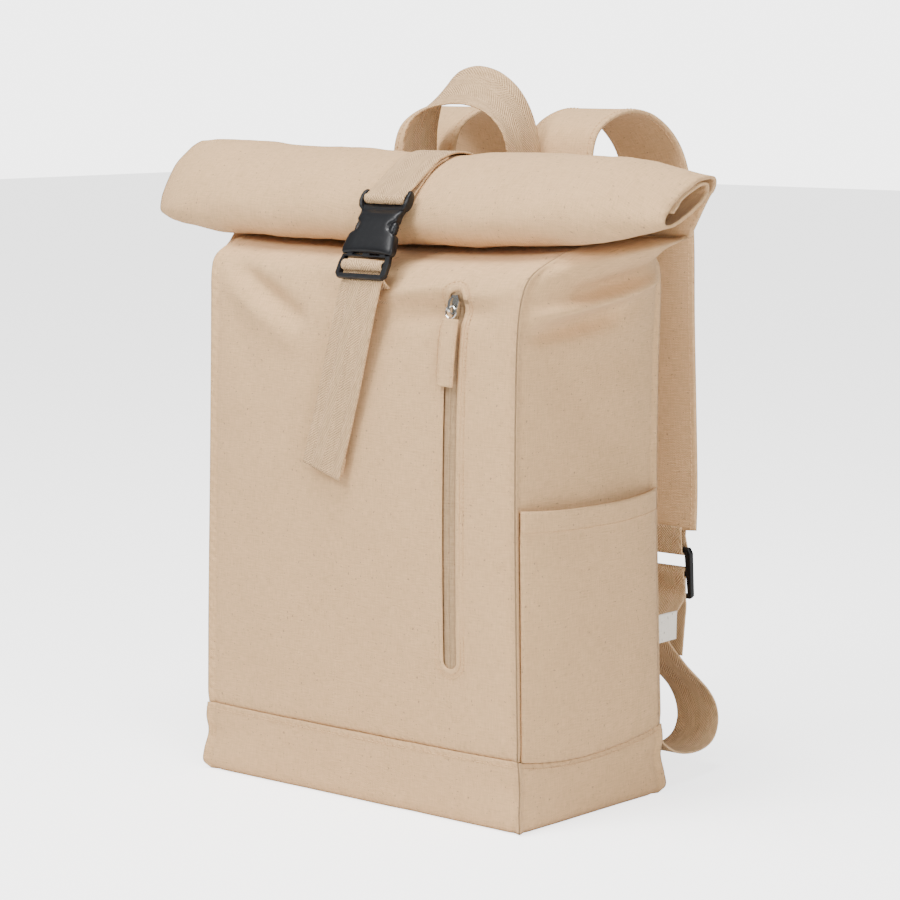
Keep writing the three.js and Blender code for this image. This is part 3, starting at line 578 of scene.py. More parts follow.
@dataclass(frozen=True)
class ClothFinish:
    """A woven finish: its colours, its weave and how strongly the weave shows."""

    name: str
    light: tuple[float, float, float]
    dark: tuple[float, float, float]
    weave: str
    relief: float
    tone: float = 1.0
    rough: float = 0.88
    sheen: float = 0.06
    fleck: tuple[float, float, float] = (0.16, 0.10, 0.06)

    def make(self) -> bpy.types.Material:
        """Builds the material.

        Returns:
            The material.
        """
        material = bpy.data.materials.new(self.name)
        material.use_nodes = True
        n = Nodes(material.node_tree)
        shader = material.node_tree.nodes["Principled BSDF"]
        weave = n.add("ShaderNodeGroup", node_tree=bpy.data.node_groups[self.weave])
        pucker_and_shade = n.add("ShaderNodeGroup", node_tree=bpy.data.node_groups["seam_pucker"])
        blend = n.add("ShaderNodeMix", data_type="RGBA")
        blend.inputs[6].default_value = (*self.dark, 1)
        blend.inputs[7].default_value = (*self.light, 1)
        toned = n.math("MULTIPLY", weave.outputs["Tone"], self.tone)
        # Painted shade: the seam group's mask takes up to 0.3 off the tone near seams, zip ribs, the welt, strip edges
        # and roll ends.
        share = n.math("SUBTRACT", n.math("ADD", toned, 0.55), n.math("MULTIPLY", pucker_and_shade.outputs["Mask"], 0.3))
        n.join(n.math("ADD", share, 0.0, clamp=True), blend.inputs[0])
        colour = blend.outputs[2]
        if "Fleck" in weave.outputs:
            spots = n.add("ShaderNodeMix", data_type="RGBA")
            n.join(n.math("MULTIPLY", weave.outputs["Fleck"], 0.55), spots.inputs[0])
            n.join(colour, spots.inputs[6])
            spots.inputs[7].default_value = (*self.fleck, 1)
            colour = spots.outputs[2]
        n.join(colour, shader.inputs["Base Color"])
        shader.inputs["Roughness"].default_value = self.rough
        shader.inputs["Specular IOR Level"].default_value = 0.25
        shader.inputs["Sheen Weight"].default_value = self.sheen
        shader.inputs["Sheen Roughness"].default_value = 0.5
        height = n.math("ADD", weave.outputs["Height"], n.math("MULTIPLY", pucker_and_shade.outputs["Height"], 3.0))
        bump = n.add("ShaderNodeBump")
        bump.inputs["Strength"].default_value = 1.0
        bump.inputs["Distance"].default_value = self.relief
        n.join(height, bump.inputs["Height"])
        n.join(bump.outputs["Normal"], shader.inputs["Normal"])
        return material


@dataclass(frozen=True)
class HardFinish:
    """A moulded or plated finish with fine scuffs and a softly uneven gloss."""

    name: str
    colour: tuple[float, float, float]
    worn: tuple[float, float, float]
    metallic: float
    rough: float
    grain: float
    relief: float

    def make(self) -> bpy.types.Material:
        """Builds the material.

        Returns:
            The material.
        """
        material = bpy.data.materials.new(self.name)
        material.use_nodes = True
        n = Nodes(material.node_tree)
        shader = material.node_tree.nodes["Principled BSDF"]
        place = n.add("ShaderNodeTexCoord")
        grain = n.add("ShaderNodeTexNoise")
        grain.inputs["Scale"].default_value = self.grain
        grain.inputs["Detail"].default_value = 4.0
        n.join(place.outputs["Object"], grain.inputs["Vector"])
        scuff = n.add("ShaderNodeTexNoise")
        scuff.inputs["Scale"].default_value = self.grain * 0.12
        scuff.inputs["Detail"].default_value = 6.0
        n.join(place.outputs["Object"], scuff.inputs["Vector"])
        worn = n.math("MULTIPLY", n.math("SUBTRACT", scuff.outputs["Fac"], 0.5), 2.4, clamp=True)
        blend = n.add("ShaderNodeMix", data_type="RGBA")
        n.join(worn, blend.inputs[0])
        blend.inputs[6].default_value = (*self.colour, 1)
        blend.inputs[7].default_value = (*self.worn, 1)
        n.join(blend.outputs[2], shader.inputs["Base Color"])
        shader.inputs["Metallic"].default_value = self.metallic
        shader.inputs["Specular IOR Level"].default_value = 0.3
        gloss = n.math("ADD", n.math("MULTIPLY", grain.outputs["Fac"], 0.16), self.rough - 0.08)
        n.join(gloss, shader.inputs["Roughness"])
        bump = n.add("ShaderNodeBump")
        bump.inputs["Strength"].default_value = 0.5
        bump.inputs["Distance"].default_value = self.relief
        n.join(grain.outputs["Fac"], bump.inputs["Height"])
        n.join(bump.outputs["Normal"], shader.inputs["Normal"])
        return material


@dataclass
class Finishes:
    """Every finish that the bag has."""

    canvas: bpy.types.Material
    webbing: bpy.types.Material
    tape: bpy.types.Material
    thread: bpy.types.Material
    label: bpy.types.Material
    plastic: bpy.types.Material
    nickel: bpy.types.Material

    @classmethod
    def make(cls) -> "Finishes":
        """Builds the node groups, then the materials."""
        plain_weave_group()
        twill_group()
        seam_pucker_and_shade_group()
        weave = "canvas_weave"
        return cls(
            canvas=ClothFinish("canvas", (0.70, 0.445, 0.23), (0.53, 0.33, 0.165), weave, 0.2 * MM).make(),
            webbing=ClothFinish(
                "webbing", (0.78, 0.51, 0.275), (0.40, 0.25, 0.125), "herringbone_twill", 0.3 * MM
            ).make(),
            tape=ClothFinish("zip_tape", (0.47, 0.31, 0.17), (0.30, 0.195, 0.10), weave, 0.08 * MM).make(),
            thread=ClothFinish("thread", (0.72, 0.47, 0.25), (0.55, 0.35, 0.18), weave, 0.05 * MM).make(),
            label=ClothFinish("label", (0.86, 0.80, 0.70), (0.74, 0.67, 0.57), weave, 0.06 * MM).make(),
            plastic=HardFinish(
                "black_plastic", (0.0045, 0.0048, 0.006), (0.009, 0.0095, 0.011), 0.0, 0.38, 2600, 0.05 * MM
            ).make(),
            nickel=HardFinish("nickel", (0.62, 0.61, 0.58), (0.50, 0.48, 0.45), 1.0, 0.16, 900, 0.02 * MM).make(),
        )


# The bag's form


@dataclass(frozen=True)
class BagForm:
    """The canvas body's outer surface: plan sections at each height, with folds on the panels."""

    half_width: float
    half_depth: float
    neck: float
    boot: float
    sections: Table = Table(
        ("height", "seam_x", "front_seam", "front_middle", "gusset_x", "back_seam", "back_middle", "pinch"),
        (
            (0.0, 0.985, -0.97, -0.97, 0.985, 0.97, 0.97, 0),
            (0.012, 1.008, -1.02, -1.01, 1.01, 1.01, 1.01, 0),
            (0.036, 1.01, -1.03, -1.02, 1.012, 1.01, 1.01, 0.012),
            (0.07, 1.0, -1.0, -1.03, 1.005, 0.99, 1.02, 0.018),
            (0.1, 0.995, -1.0, -1.04, 1.005, 0.99, 1.02, 0),
            (0.125, 0.99, -1.0, -1.045, 1.005, 0.99, 1.02, 0),
            (0.3, 0.98, -1.0, -1.09, 1.01, 0.97, 1.04, 0),
            (0.55, 0.965, -0.99, -1.11, 1.0, 0.96, 1.05, 0),
            (0.77, 0.96, -0.97, -1.08, 1.01, 0.98, 1.04, 0),
            (0.87, 0.965, -0.95, -1.02, 1.05, 0.99, 1.02, 0),
            (0.92, 0.98, -0.91, -0.95, 1.1, 0.95, 0.99, 0),
            (0.945, 0.995, -0.83, -0.82, 1.16, 0.88, 0.92, 0),
            (0.962, 1.005, -0.66, -0.53, 1.23, 0.78, 0.82, 0),
            (0.98, 1.01, -0.38, -0.16, 1.31, 0.62, 0.66, 0),
            (1.0, 1.01, 0.16, 0.2, 1.4, 0.42, 0.44, 0),
        ),
    )
    front_folds: tuple[Fold, ...] = (
        Fold(-0.13, 0.366, -0.055, 0.332, 0.008, -0.0075),
        Fold(-0.12, 0.35, -0.06, 0.318, 0.01, 0.004),
        Fold(-0.05, 0.36, 0.0, 0.342, 0.011, -0.003),
        Fold(0.028, 0.352, 0.08, 0.36, 0.007, 0.006),
        Fold(0.045, 0.34, 0.115, 0.346, 0.008, -0.005),
        Fold(0.1, 0.352, 0.138, 0.36, 0.007, 0.0038),
        Fold(-0.115, 0.33, -0.1, 0.29, 0.012, -0.0018),
        Fold(-0.12, 0.16, -0.02, 0.2, 0.04, -0.0012),
        Fold(0.02, 0.3, 0.04, 0.13, 0.035, 0.0012),
        Fold(0.11, 0.31, 0.12, 0.12, 0.012, 0.0012),
        Fold(-0.14, 0.1, -0.1, 0.07, 0.016, -0.0012),
        Fold(-0.145, 0.25, -0.11, 0.28, 0.014, 0.0012),
    )
    side_folds: tuple[Fold, ...] = (
        Fold(-0.066, 0.341, 0.055, 0.36, 0.0055, 0.0125),
        Fold(-0.062, 0.329, 0.01, 0.339, 0.0065, -0.0075),
        Fold(-0.03, 0.356, 0.05, 0.374, 0.006, -0.005),
        Fold(-0.02, 0.318, 0.055, 0.335, 0.012, 0.002),
        Fold(-0.06, 0.3, 0.04, 0.24, 0.02, -0.0025),
        Fold(-0.04, 0.27, 0.06, 0.29, 0.022, 0.002),
        Fold(-0.05, 0.09, 0.05, 0.12, 0.03, 0.0015),
    )
    back_folds: tuple[Fold, ...] = (
        Fold(-0.12, 0.35, -0.03, 0.33, 0.012, -0.003),
        Fold(0.03, 0.33, 0.12, 0.352, 0.012, -0.003),
        Fold(-0.1, 0.25, 0.1, 0.22, 0.03, -0.002),
        Fold(-0.09, 0.12, 0.1, 0.16, 0.035, -0.002),
        Fold(-0.13, 0.3, -0.1, 0.1, 0.015, 0.0015),
        Fold(0.1, 0.3, 0.13, 0.1, 0.015, 0.0015),
    )
    panel_curve: float = 2.6
    gusset_curve: float = 2.2

    def section(self, z: float) -> dict[str, float]:
        """The plan's named lengths at a height, in metres."""
        share = z / self.neck
        scale = {"seam_x": self.half_width, "gusset_x": self.half_width}
        names = self.sections.columns[1:]
        return {c: self.sections.read(c, share) * scale.get(c, self.half_depth) for c in names}

    def front(self, x: float, z: float, folded: bool = True) -> np.ndarray:
        """A point on the front panel."""
        s = self.section(z)
        across = min(1.0, abs(x) / s["seam_x"])
        y = s["front_middle"] + (s["front_seam"] - s["front_middle"]) * across**self.panel_curve
        if folded:
            y -= sum(f.at(x, z) for f in self.front_folds) * (1 - across**8)
        return vec(x, y, z)

    def back(self, x: float, z: float, folded: bool = True) -> np.ndarray:
        """A point on the back panel."""
        s = self.section(z)
        across = min(1.0, abs(x) / s["seam_x"])
        y = s["back_middle"] + (s["back_seam"] - s["back_middle"]) * across**self.panel_curve
        if folded:
            y += sum(f.at(x, z) for f in self.back_folds) * (1 - across**8)
        return vec(x, y, z)

    def gusset(self, side: int, across: float, z: float, folded: bool = True) -> np.ndarray:
        """A point on a side gusset, with across from -1 at the front seam to 1 at the back seam."""
        s = self.section(z)
        y = mix(s["front_seam"], s["back_seam"], (across + 1) / 2)
        x = s["seam_x"] + (s["gusset_x"] - s["seam_x"]) * (1 - abs(across) ** self.gusset_curve)
        if folded:
            x += sum(f.at(y, z) for f in self.side_folds) * (1 - abs(across) ** 6)
        return vec(side * x, y, z)

    def normal(self, place: Callable[[float, float], np.ndarray], a: float, z: float, out: np.ndarray) -> np.ndarray:
        """The surface's normal where place(a, z) lies, on the side of out."""
        step = 0.002
        da = place(a + step, z) - place(a - step, z)
        dz = place(a, z + step) - place(a, z - step)
        n = unit(np.cross(da, dz))
        return n if float(n @ out) > 0 else -n

    def on_front(self, x: float, z: float, out: float) -> np.ndarray:
        """A point at a distance out of the front panel."""
        return self.front(x, z, False) + self.normal(lambda a, b: self.front(a, b, False), x, z, vec(0, -1, 0)) * out

    def on_back(self, x: float, z: float, out: float) -> np.ndarray:
        """A point at a distance out of the back panel."""
        return self.back(x, z, False) + self.normal(lambda a, b: self.back(a, b, False), x, z, vec(0, 1, 0)) * out


@dataclass
class Canvas:
    """The sewn canvas body: panels, gussets, boot and slip pockets."""

    form: BagForm
    finish: Finishes
    wall: float = 2.0 * MM
    seam_ridge: float = 1.7 * MM
    seam_width: float = 2.2 * MM
    panel_steps: int = 88
    gusset_steps: int = 46
    seam_gap: float = 0.3 * MM
    droop: float = 6.0 * MM
    hem: float = 4.0 * MM
    pocket_top: float = 0.2155
    pocket_full: float = 6.5 * MM

    def around(self) -> list[tuple[str, float, int]]:
        """Stations round the body: the panel's name, the place across it and its side."""
        def spread(count: int) -> list[float]:
            # Stations crowd towards the seams, where the ridge is narrow.
            steps = np.linspace(-1, 1, count + 1)[:-1]
            return [0.35 * t + 0.65 * math.sin(t * math.pi / 2) for t in steps]

        stations = [("side", -t, -1) for t in spread(self.gusset_steps)]
        stations += [("front", t, 1) for t in spread(self.panel_steps)]
        stations += [("side", t, 1) for t in spread(self.gusset_steps)]
        stations += [("back", -t, 1) for t in spread(self.panel_steps)]
        stations.append(("back", -1.0, 1))
        return stations

    def point(self, station: tuple[str, float, int], z: float) -> tuple[np.ndarray, tuple[float, float, float]]:
        """The outer surface and the cloth's measure at a station and height."""
        panel, across, side = station
        z -= self.dip(station, z)
        s = self.form.section(z)
        if panel == "side":
            p = self.form.gusset(side, across, z)
            reach = s["back_seam"] - s["front_seam"]
            outward = vec(side, 0, 0)
        else:
            x = across * s["seam_x"]
            p = self.form.front(x, z) if panel == "front" else self.form.back(x, z)
            reach = 2 * s["seam_x"]
            outward = vec(0, -1 if panel == "front" else 1, 0)
        run = {("side", -1): -across, ("front", 1): 2 + 2 * across, ("side", 1): 4 + across}
        measure = run.get((panel, side), 7 - 2 * across) * self.form.half_depth
        away = (1 - abs(across)) * reach / 2
        ridge = self.seam_ridge * math.exp(-((away / self.seam_width) ** 2))
        groove = -0.5 * self.seam_ridge * math.exp(-(((away - 2.4 * self.seam_width) / self.seam_width) ** 2))
        sx = math.copysign(1.0, p[0])
        sy = -1.0 if p[1] < s["front_seam"] * 0.5 else 1.0
        corner = unit(vec(sx, sy, 0))
        p = p + corner * ridge + outward * groove
        if s["pinch"] > 0:
            p = p - vec(sx, sy, 0) * s["pinch"] * math.exp(-((away / 0.018) ** 2))
        ripple = noise.noise(Vector((p[0] * 22, p[1] * 22, z * 16 + SEED))) * 0.9 * MM
        ripple += noise.noise(Vector((p[0] * 70, p[1] * 70, z * 45 + SEED))) * 0.25 * MM
        p = p + outward * ripple * (1 - math.exp(-away / 0.01))
        # Nearness to the corner seam, which sets the painted shade along it as well as the pucker.
        seam = math.exp(-((away / (5 * MM)) ** 2))
        return p, (measure, z, seam)

    def dip(self, station: tuple[str, float, int], z: float) -> float:
        """How far the cloth sags below its place on a gusset, where the boot's seam droops."""
        if station[0] != "side":
            return 0.0
        across = station[1]
        droop = max(0.0, (1 - across**2)) * (1.15 - 0.15 * across)
        return self.droop * droop * ease(z / self.form.boot) * ease(2.6 - 1.6 * z / self.form.boot)

    def rings(self, heights: Sequence[float]) -> tuple[list, list]:
        """Rows of points and of cloth measures at each height."""
        stations = self.around()
        rows, cloth = [], []
        for z in heights:
            pairs = [self.point(s, z) for s in stations]
            rows.append([p for p, _ in pairs])
            cloth.append([c for _, c in pairs])
        return rows, cloth

    def body(self, slot: "Zip") -> bpy.types.Object:
        """The body from the boot's seam to the neck, with the zip's opening left out of the front panel.

        Args:
            slot: the zip, which says where the opening is.

        Returns:
            The piece.
        """
        heights = list(np.linspace(self.form.boot + self.seam_gap, self.form.neck, 150))
        rows, cloth = self.rings(heights)
        for r, z in enumerate(heights):
            # The boot's seam pulls the cloth in a little, and painted shade darkens the cloth along it.
            near = math.exp(-(((z - self.form.boot) / (5 * MM)) ** 2))
            cloth[r] = [(a, b, max(c, near)) for a, b, c in cloth[r]]
            for i, p in enumerate(rows[r]):
                rows[r][i] = p - unit(vec(p[0], p[1], 0)) * near * 0.9 * MM

        def keep(r: int, i: int) -> bool:
            p = (rows[r][i] + rows[r + 1][(i + 1) % len(rows[r])]) / 2
            return not (p[1] < 0 and slot.inside(p[0], p[2]))

        mesh = ClothMesh()
        shell(mesh, rows, cloth, self.wall, keep=keep)
        return mesh.build("canvas_body", self.finish.canvas, "canvas", "body_shell")

    def boot(self) -> bpy.types.Object:
        """The boot with its flat floor."""
        heights = list(np.linspace(0, self.form.boot, 30))
        rows, cloth = self.rings(heights)
        for r, z in enumerate(heights):
            # Painted shade darkens the cloth along the boot's top seam.
            near = math.exp(-(((z - self.form.boot) / (4 * MM)) ** 2))
            cloth[r] = [(a, b, max(c, near)) for a, b, c in cloth[r]]
            for i, p in enumerate(rows[r]):
                rows[r][i] = p + unit(vec(p[0], p[1], 0)) * (0.8 * MM * ease(z / (8 * MM)) - near * 0.5 * MM)
        mesh = ClothMesh()
        shell(mesh, rows, cloth, self.wall)
        floor_rings = []
        for share in (1.0, 0.96, 0.85, 0.6, 0.3, 0.04):
            floor_rings.append([vec(p[0] * share, p[1] * share, 0.0) for p in rows[0]])
        measures = [[(p[0], p[1], 0.0) for p in ring] for ring in floor_rings]
        ids = mesh.grid([list(reversed(r)) for r in floor_rings], [list(reversed(m)) for m in measures], wrap=True)
        mesh.faces.append(tuple(ids[-1]))
        return mesh.build("canvas_boot", self.finish.canvas, "canvas", "base_boot")

    def pocket(self, side: int) -> bpy.types.Object:
        """A slip pocket: a full panel sewn in at the seams, hemmed at its open top."""
        heights = list(np.linspace(self.form.boot + self.seam_gap, self.pocket_top, 70))
        steps = np.linspace(-0.975, 0.975, 46)
        rows, cloth = [], []
        for z in heights:
            up = (z - self.form.boot) / (self.pocket_top - self.form.boot)
            row, measure = [], []
            for t in steps:
                sag = 2.4 * MM * (1 - t * t) * ease((up - 0.6) / 0.4) + self.dip(("side", t, side), z)
                p = self.form.gusset(side, t, z - sag, False)
                full = self.pocket_full * math.sqrt(min(1.0, up * 1.6)) * (1 - t**4)
                hemmed = 0.5 * MM * ease((z - self.pocket_top + 16 * MM) / (1.5 * MM))
                wave = noise.noise(Vector((p[1] * 26, z * 20, SEED + side))) * 1.1 * MM * (1 - t**6)
                row.append(p + vec(side * (0.3 * MM + 1.5 * MM + full + hemmed + wave), 0, 0))
                # The pocket's sides and its sewn bottom count as near a seam, so painted shade darkens them.
                edge = math.exp(-(((1 - abs(t)) * self.form.half_depth / (5 * MM)) ** 2))
                near = math.exp(-(((z - self.form.boot) / (5 * MM)) ** 2))
                measure.append((t * self.form.half_depth, z + 0.3, max(edge, near)))
            rows.append(row)
            cloth.append(measure)
        mesh = ClothMesh()
        shell(mesh, rows, cloth, 1.5 * MM, outward=side)
        if side < 0:
            mesh.faces[:] = [tuple(reversed(f)) for f in mesh.faces]
        sewing = Thread()
        top = [r for r, z in enumerate(heights) if z < self.pocket_top - 13 * MM][-1]
        sewing.sew(mesh, [p + vec(side * 0.1 * MM, 0, 0) for p in rows[top]], [vec(side, 0, 0)] * len(steps))
        name = "right" if side > 0 else "left"
        return mesh.build(f"slip_pocket_{name}", self.finish.canvas, "canvas", f"side_pocket_{name}")

    def stitching(self) -> bpy.types.Object:
        """The topstitch rows below the boot's seam."""
        mesh = ClothMesh()
        z = self.form.boot - self.hem
        rows, _ = self.rings([z])
        path = [p + unit(vec(p[0], p[1], 0)) * 0.9 * MM for p in rows[0]]
        Thread().sew(mesh, path, [unit(vec(p[0] * 0.4, p[1], 0)) for p in path])
        return mesh.build("boot_stitching", self.finish.thread, "canvas")

    def make(self, slot: "Zip") -> None:
        """Builds the canvas body's pieces."""
        for piece in (self.body(slot), self.boot(), self.pocket(1), self.pocket(-1), self.stitching()):
            LOG.info("made %s", piece.name)


@dataclass
class Roll:
    """The mouth, rolled forward about one and a half turns."""

    form: BagForm
    finish: Finishes
    half_length: float
    reach: float = 46 * MM
    thickness: float = 28 * MM
    rise: float = 24 * MM
    wall: float = 2.0 * MM
    tightening: float = 0.29
    start_angle: float = -40.0
    end_angle: float = 520.0
    sections: Table = Table(
        ("along", "y", "z", "reach", "thickness", "tilt"),
        (
            (-1.0, -0.28, 1.2, 0.74, 0.38, 48),
            (-0.93, -0.28, 1.1, 0.86, 0.6, 44),
            (-0.78, -0.27, 0.95, 0.95, 0.88, 37),
            (-0.4, -0.25, 0.85, 0.98, 1.0, 31),
            (0.05, -0.25, 0.77, 0.95, 0.97, 28),
            (0.4, -0.22, 0.85, 0.99, 1.0, 28),
            (0.78, -0.15, 0.95, 0.9, 0.84, 27),
            (0.93, -0.07, 1.0, 0.76, 0.5, 26),
            (1.0, -0.02, 1.02, 0.68, 0.27, 26),
        ),
    )
    turn_steps: int = 150
    length_steps: int = 110

    def place(self, along: float, angle: float, out: float = 0.0) -> np.ndarray:
        """A point on the rolled cloth.

        Args:
            along: the share of the half length, from -1 to 1.
            angle: degrees turned round the roll.
            out: a distance outwards.

        Returns:
            The point.
        """
        at = {c: self.sections.read(c, along) for c in self.sections.columns[1:]}
        tilt, turn = math.radians(at["tilt"]), math.radians(angle)
        tight = 1 - self.tightening * max(0.0, angle) / 360
        a = (at["reach"] * self.reach * tight + out) * math.cos(turn)
        b = (at["thickness"] * self.thickness * tight + out) * math.sin(turn)
        return vec(
            along * self.half_length,
            at["y"] * self.form.half_depth + a * math.cos(tilt) - b * math.sin(tilt),
            self.form.neck + at["z"] * self.rise + a * math.sin(tilt) + b * math.cos(tilt),
        )

    def make(self) -> bpy.types.Object:
        """Builds the roll."""
        slot = self.form.section(self.form.neck)
        neck_y = (slot["front_middle"] + slot["back_middle"]) / 2
        neck_half = slot["gusset_x"]
        rows, cloth = [], []
        for t in np.linspace(-1, 1, self.length_steps + 1):
            along = math.sin(t * math.pi / 2) * 0.35 + t * 0.65
            start = self.place(along, self.start_angle)
            row = []
            for share in np.linspace(0, 1, 10, endpoint=False):
                row.append(
                    vec(
                        along * mix(neck_half, self.half_length, share),
                        mix(neck_y, start[1], ease(share)),
                        mix(self.form.neck + 0.3 * MM, start[2], share),
                    )
                )
            for angle in np.linspace(self.start_angle, self.end_angle, self.turn_steps + 1):
                p = self.place(along, angle)
                centre = self.place(along, angle, -10 * MM)
                out = unit(p - centre)
                soft = noise.noise(Vector((along * 5.5, math.radians(angle) * 0.9, SEED))) * 1.6 * MM
                soft += noise.noise(Vector((along * 14, math.radians(angle) * 2.4, SEED + 4))) * 0.7 * MM
                row.append(p + out * soft * ease((angle - self.start_angle) / 60))
            lengths = np.concatenate([[0], np.cumsum(np.linalg.norm(np.diff(np.array(row), axis=0), axis=1))])
            # The last 5 mm at each end count as near a seam, so painted shade darkens the roll's ends.
            end = math.exp(-(((1 - abs(along)) * self.half_length / (5 * MM)) ** 2))
            rows.append(row)
            cloth.append([(along * self.half_length, s + 0.4, end) for s in lengths])
        mesh = ClothMesh()
        shell(mesh, rows, cloth, self.wall, outward=-1.0)
        mesh.faces[:] = [tuple(reversed(f)) for f in mesh.faces]
        piece = mesh.build("rolled_mouth", self.finish.canvas, "canvas", "rolled_top")
        LOG.info("made %s", piece.name)
        return piece


@dataclass
class Lean:
    """A buckle's own frame: x across, y up the strap, z out of its face."""

    origin: np.ndarray
    degrees: float

    def point(self, x: float, y: float, z: float) -> np.ndarray:
        """A point of the buckle's frame, in the bag's."""
        a = math.radians(self.degrees)
        up, out = vec(0, math.sin(a), math.cos(a)), vec(0, -math.cos(a), math.sin(a))
        return self.origin + vec(1, 0, 0) * x + up * y + out * z


ACROSS = vec(1, 0, 0)


@dataclass
class Closure:
    """The webbing over the roll, its buckle, and the webbing sewn to the front with its free tail."""

    form: BagForm
    roll: Roll
    finish: Finishes
    x: float = 15 * MM
    back_x: float = 6 * MM
    width: float = 36 * MM
    thick: float = 1.6 * MM
    gap: float = 0.4 * MM
    socket_length: float = 42 * MM
    frame_length: float = 17 * MM
    socket_thick: float = 9 * MM
    bar: float = 3 * MM
    lean: float = 28.0
    contact_angle: float = 138.0
    rise: float = -1 * MM
    tail_length: float = 128 * MM
    tail_drift: float = 34 * MM
    tail_off: float = 3 * MM
    tail_fall: float = 2.6
    anchor_length: float = 16 * MM

    @property
    def turn_radius(self) -> float:
        """The radius of the webbing's middle round a bar."""
        return self.bar / 2 * math.sqrt(2) + self.thick / 2 + 0.3 * MM

    @property
    def buckle(self) -> Lean:
        """The buckle's frame, with its origin in the middle of the socket's bar."""
        contact = self.roll.place(self.x / self.roll.half_length, self.contact_angle)
        off = self.roll.wall / 2 + 2 * self.thick + self.gap * 3 + self.socket_thick / 2
        a = math.radians(self.lean)
        return Lean(
            vec(
                self.x,
                contact[1] - math.cos(a) * off + math.sin(a) * self.rise,
                contact[2] + math.sin(a) * off + math.cos(a) * self.rise,
            ),
            self.lean,
        )

    def upper(self) -> bpy.types.Object:
        """The webbing from the back, over the roll and round the socket's bar."""
        touching = self.thick / 2 + self.gap
        points = [
            self.form.on_back(self.back_x, share * self.form.neck, touching + self.gap)
            for share in (0.9, 0.915, 0.93, 0.945, 0.96, 0.975, 0.99)
        ]
        along = self.x / self.roll.half_length
        on_roll = self.roll.wall / 2 + touching + self.gap * 3
        for angle in (-8, 4, 16, 28, 40, 52, 64, 76, 86):
            second = (self.thick + self.gap) * min(1.0, max(0.0, (angle - 30) / 40))
            points.append(self.roll.place(along, angle, on_roll + second))
        for turn in (70, 30, -10, -50, -90, -130, -165):
            a = math.radians(turn)
            r = self.turn_radius
            points.append(self.buckle.point(0, r * math.sin(a), r * math.cos(a)))
        points += [self.roll.place(along, angle, on_roll) for angle in (96, 82, 70)]
        for i, p in enumerate(points):
            p[0] = mix(self.back_x, self.x, min(1.0, i / 11))
        mesh = ClothMesh()
        strip(mesh, strip_rows(points, [ACROSS] * len(points)), self.width, self.thick)
        return mesh.build("closure_webbing", self.finish.webbing, "webbing", "closure_strap")

    def lower(self) -> bpy.types.Object:
        """The webbing sewn to the front, round the prong's bar and down as the free tail."""
        touching = self.thick / 2 + self.gap
        behind = self.bar / 2 + touching
        frame_top = -self.socket_length - 0.3 * MM
        mid_bar = frame_top - self.bar / 2 - (self.turn_radius + self.thick / 2 + 0.3 * MM + self.bar / 2)
        bottom = frame_top - self.frame_length + self.bar / 2
        top = self.buckle.point(0, bottom, -behind - self.thick - self.gap)
        sewn = top[2] - self.anchor_length
        points = [self.form.on_front(self.x, mix(sewn, top[2], s), touching) for s in (0, 0.3, 0.55)]
        points.append(top)
        for turn in (200, 160, 120, 80, 40, 0, -40, -80, -115):
            a = math.radians(turn)
            r = self.turn_radius
            points.append(self.buckle.point(0, mid_bar + r * math.sin(a), r * math.cos(a)))
        points.append(self.buckle.point(0, bottom, -behind))
        first = self.buckle.point(0, bottom - 5 * MM, -behind - 0.6 * MM)
        rest = touching + self.thick + self.gap + self.tail_off
        bar_out = self.form.front(self.x, first[2], False)[1] - first[1]
        points.append(first)
        for i in range(1, 10):
            t = i / 9
            points.append(
                self.form.on_front(
                    self.x - self.tail_drift * t**1.15,
                    first[2] - t * self.tail_length,
                    mix(rest, bar_out, (1 - t) ** self.tail_fall),
                )
            )
        rows = strip_rows(points, [ACROSS] * len(points))
        mesh = ClothMesh()
        strip(mesh, rows, self.width, self.thick)
        hem = rows[-9:-1]
        back = [Row(r.at - r.normal * 1.7 * MM, r.wide, r.normal) for r in hem]
        strip(mesh, back, self.width - 0.6 * MM, self.thick)
        return mesh.build("closure_tail_webbing", self.finish.webbing, "webbing", "closure_tail")

    socket: Table = Table(
        ("down", "half", "front", "back"),
        (
            (0.1, 0.86, 0.2, 3.2),
            (0.125, 0.88, 0.9, 3.7),
            (0.18, 0.87, 1.5, 3.9),
            (0.25, 0.81, 2.6, 4.0),
            (0.32, 0.775, 4.0, 4.2),
            (0.4, 0.79, 4.6, 4.3),
            (0.55, 0.85, 4.8, 4.3),
            (0.74, 0.94, 4.8, 4.3),
            (0.9, 1.0, 4.4, 4.2),
            (0.97, 0.99, 3.8, 3.6),
            (1.0, 0.95, 2.8, 2.8),
        ),
    )
    buckle_width: float = 45 * MM
    notch: float = 4.2 * MM

    def socket_rings(self) -> list[list[np.ndarray]]:
        """The socket's cross-sections: a rounded box with a dished top end and a notch at each side."""
        rings = []
        for down in np.concatenate([np.linspace(0.1, 0.34, 16), np.linspace(0.36, 0.94, 30), np.linspace(0.95, 1, 7)]):
            half = self.socket.read("half", down) * self.buckle_width / 2
            notch = self.notch * math.exp(-(((down - 0.53) / 0.1) ** 4))
            front, back = (self.socket.read(c, down) * MM for c in ("front", "back"))
            ring = []
            for a in np.linspace(0, 2 * math.pi, 56, endpoint=False):
                c, s = math.cos(a), math.sin(a)
                x = math.copysign(abs(c) ** 0.32, c)
                inset = notch * ease((abs(x) - 0.55) / 0.4)
                z = math.copysign(abs(s) ** 0.45, s)
                dish = 1 - 0.35 * (1 - x * x) * ease((0.3 - down) / 0.15) * (z > 0)
                y = -down * self.socket_length + 1.6 * MM * (1 - x * x) * (ease((down - 0.7) / 0.3) - ease((0.3 - down) / 0.2))
                ring.append(self.buckle.point(x * half - math.copysign(inset, x), y, z * dish * (front if s > 0 else back)))
            rings.append(ring)
        return rings

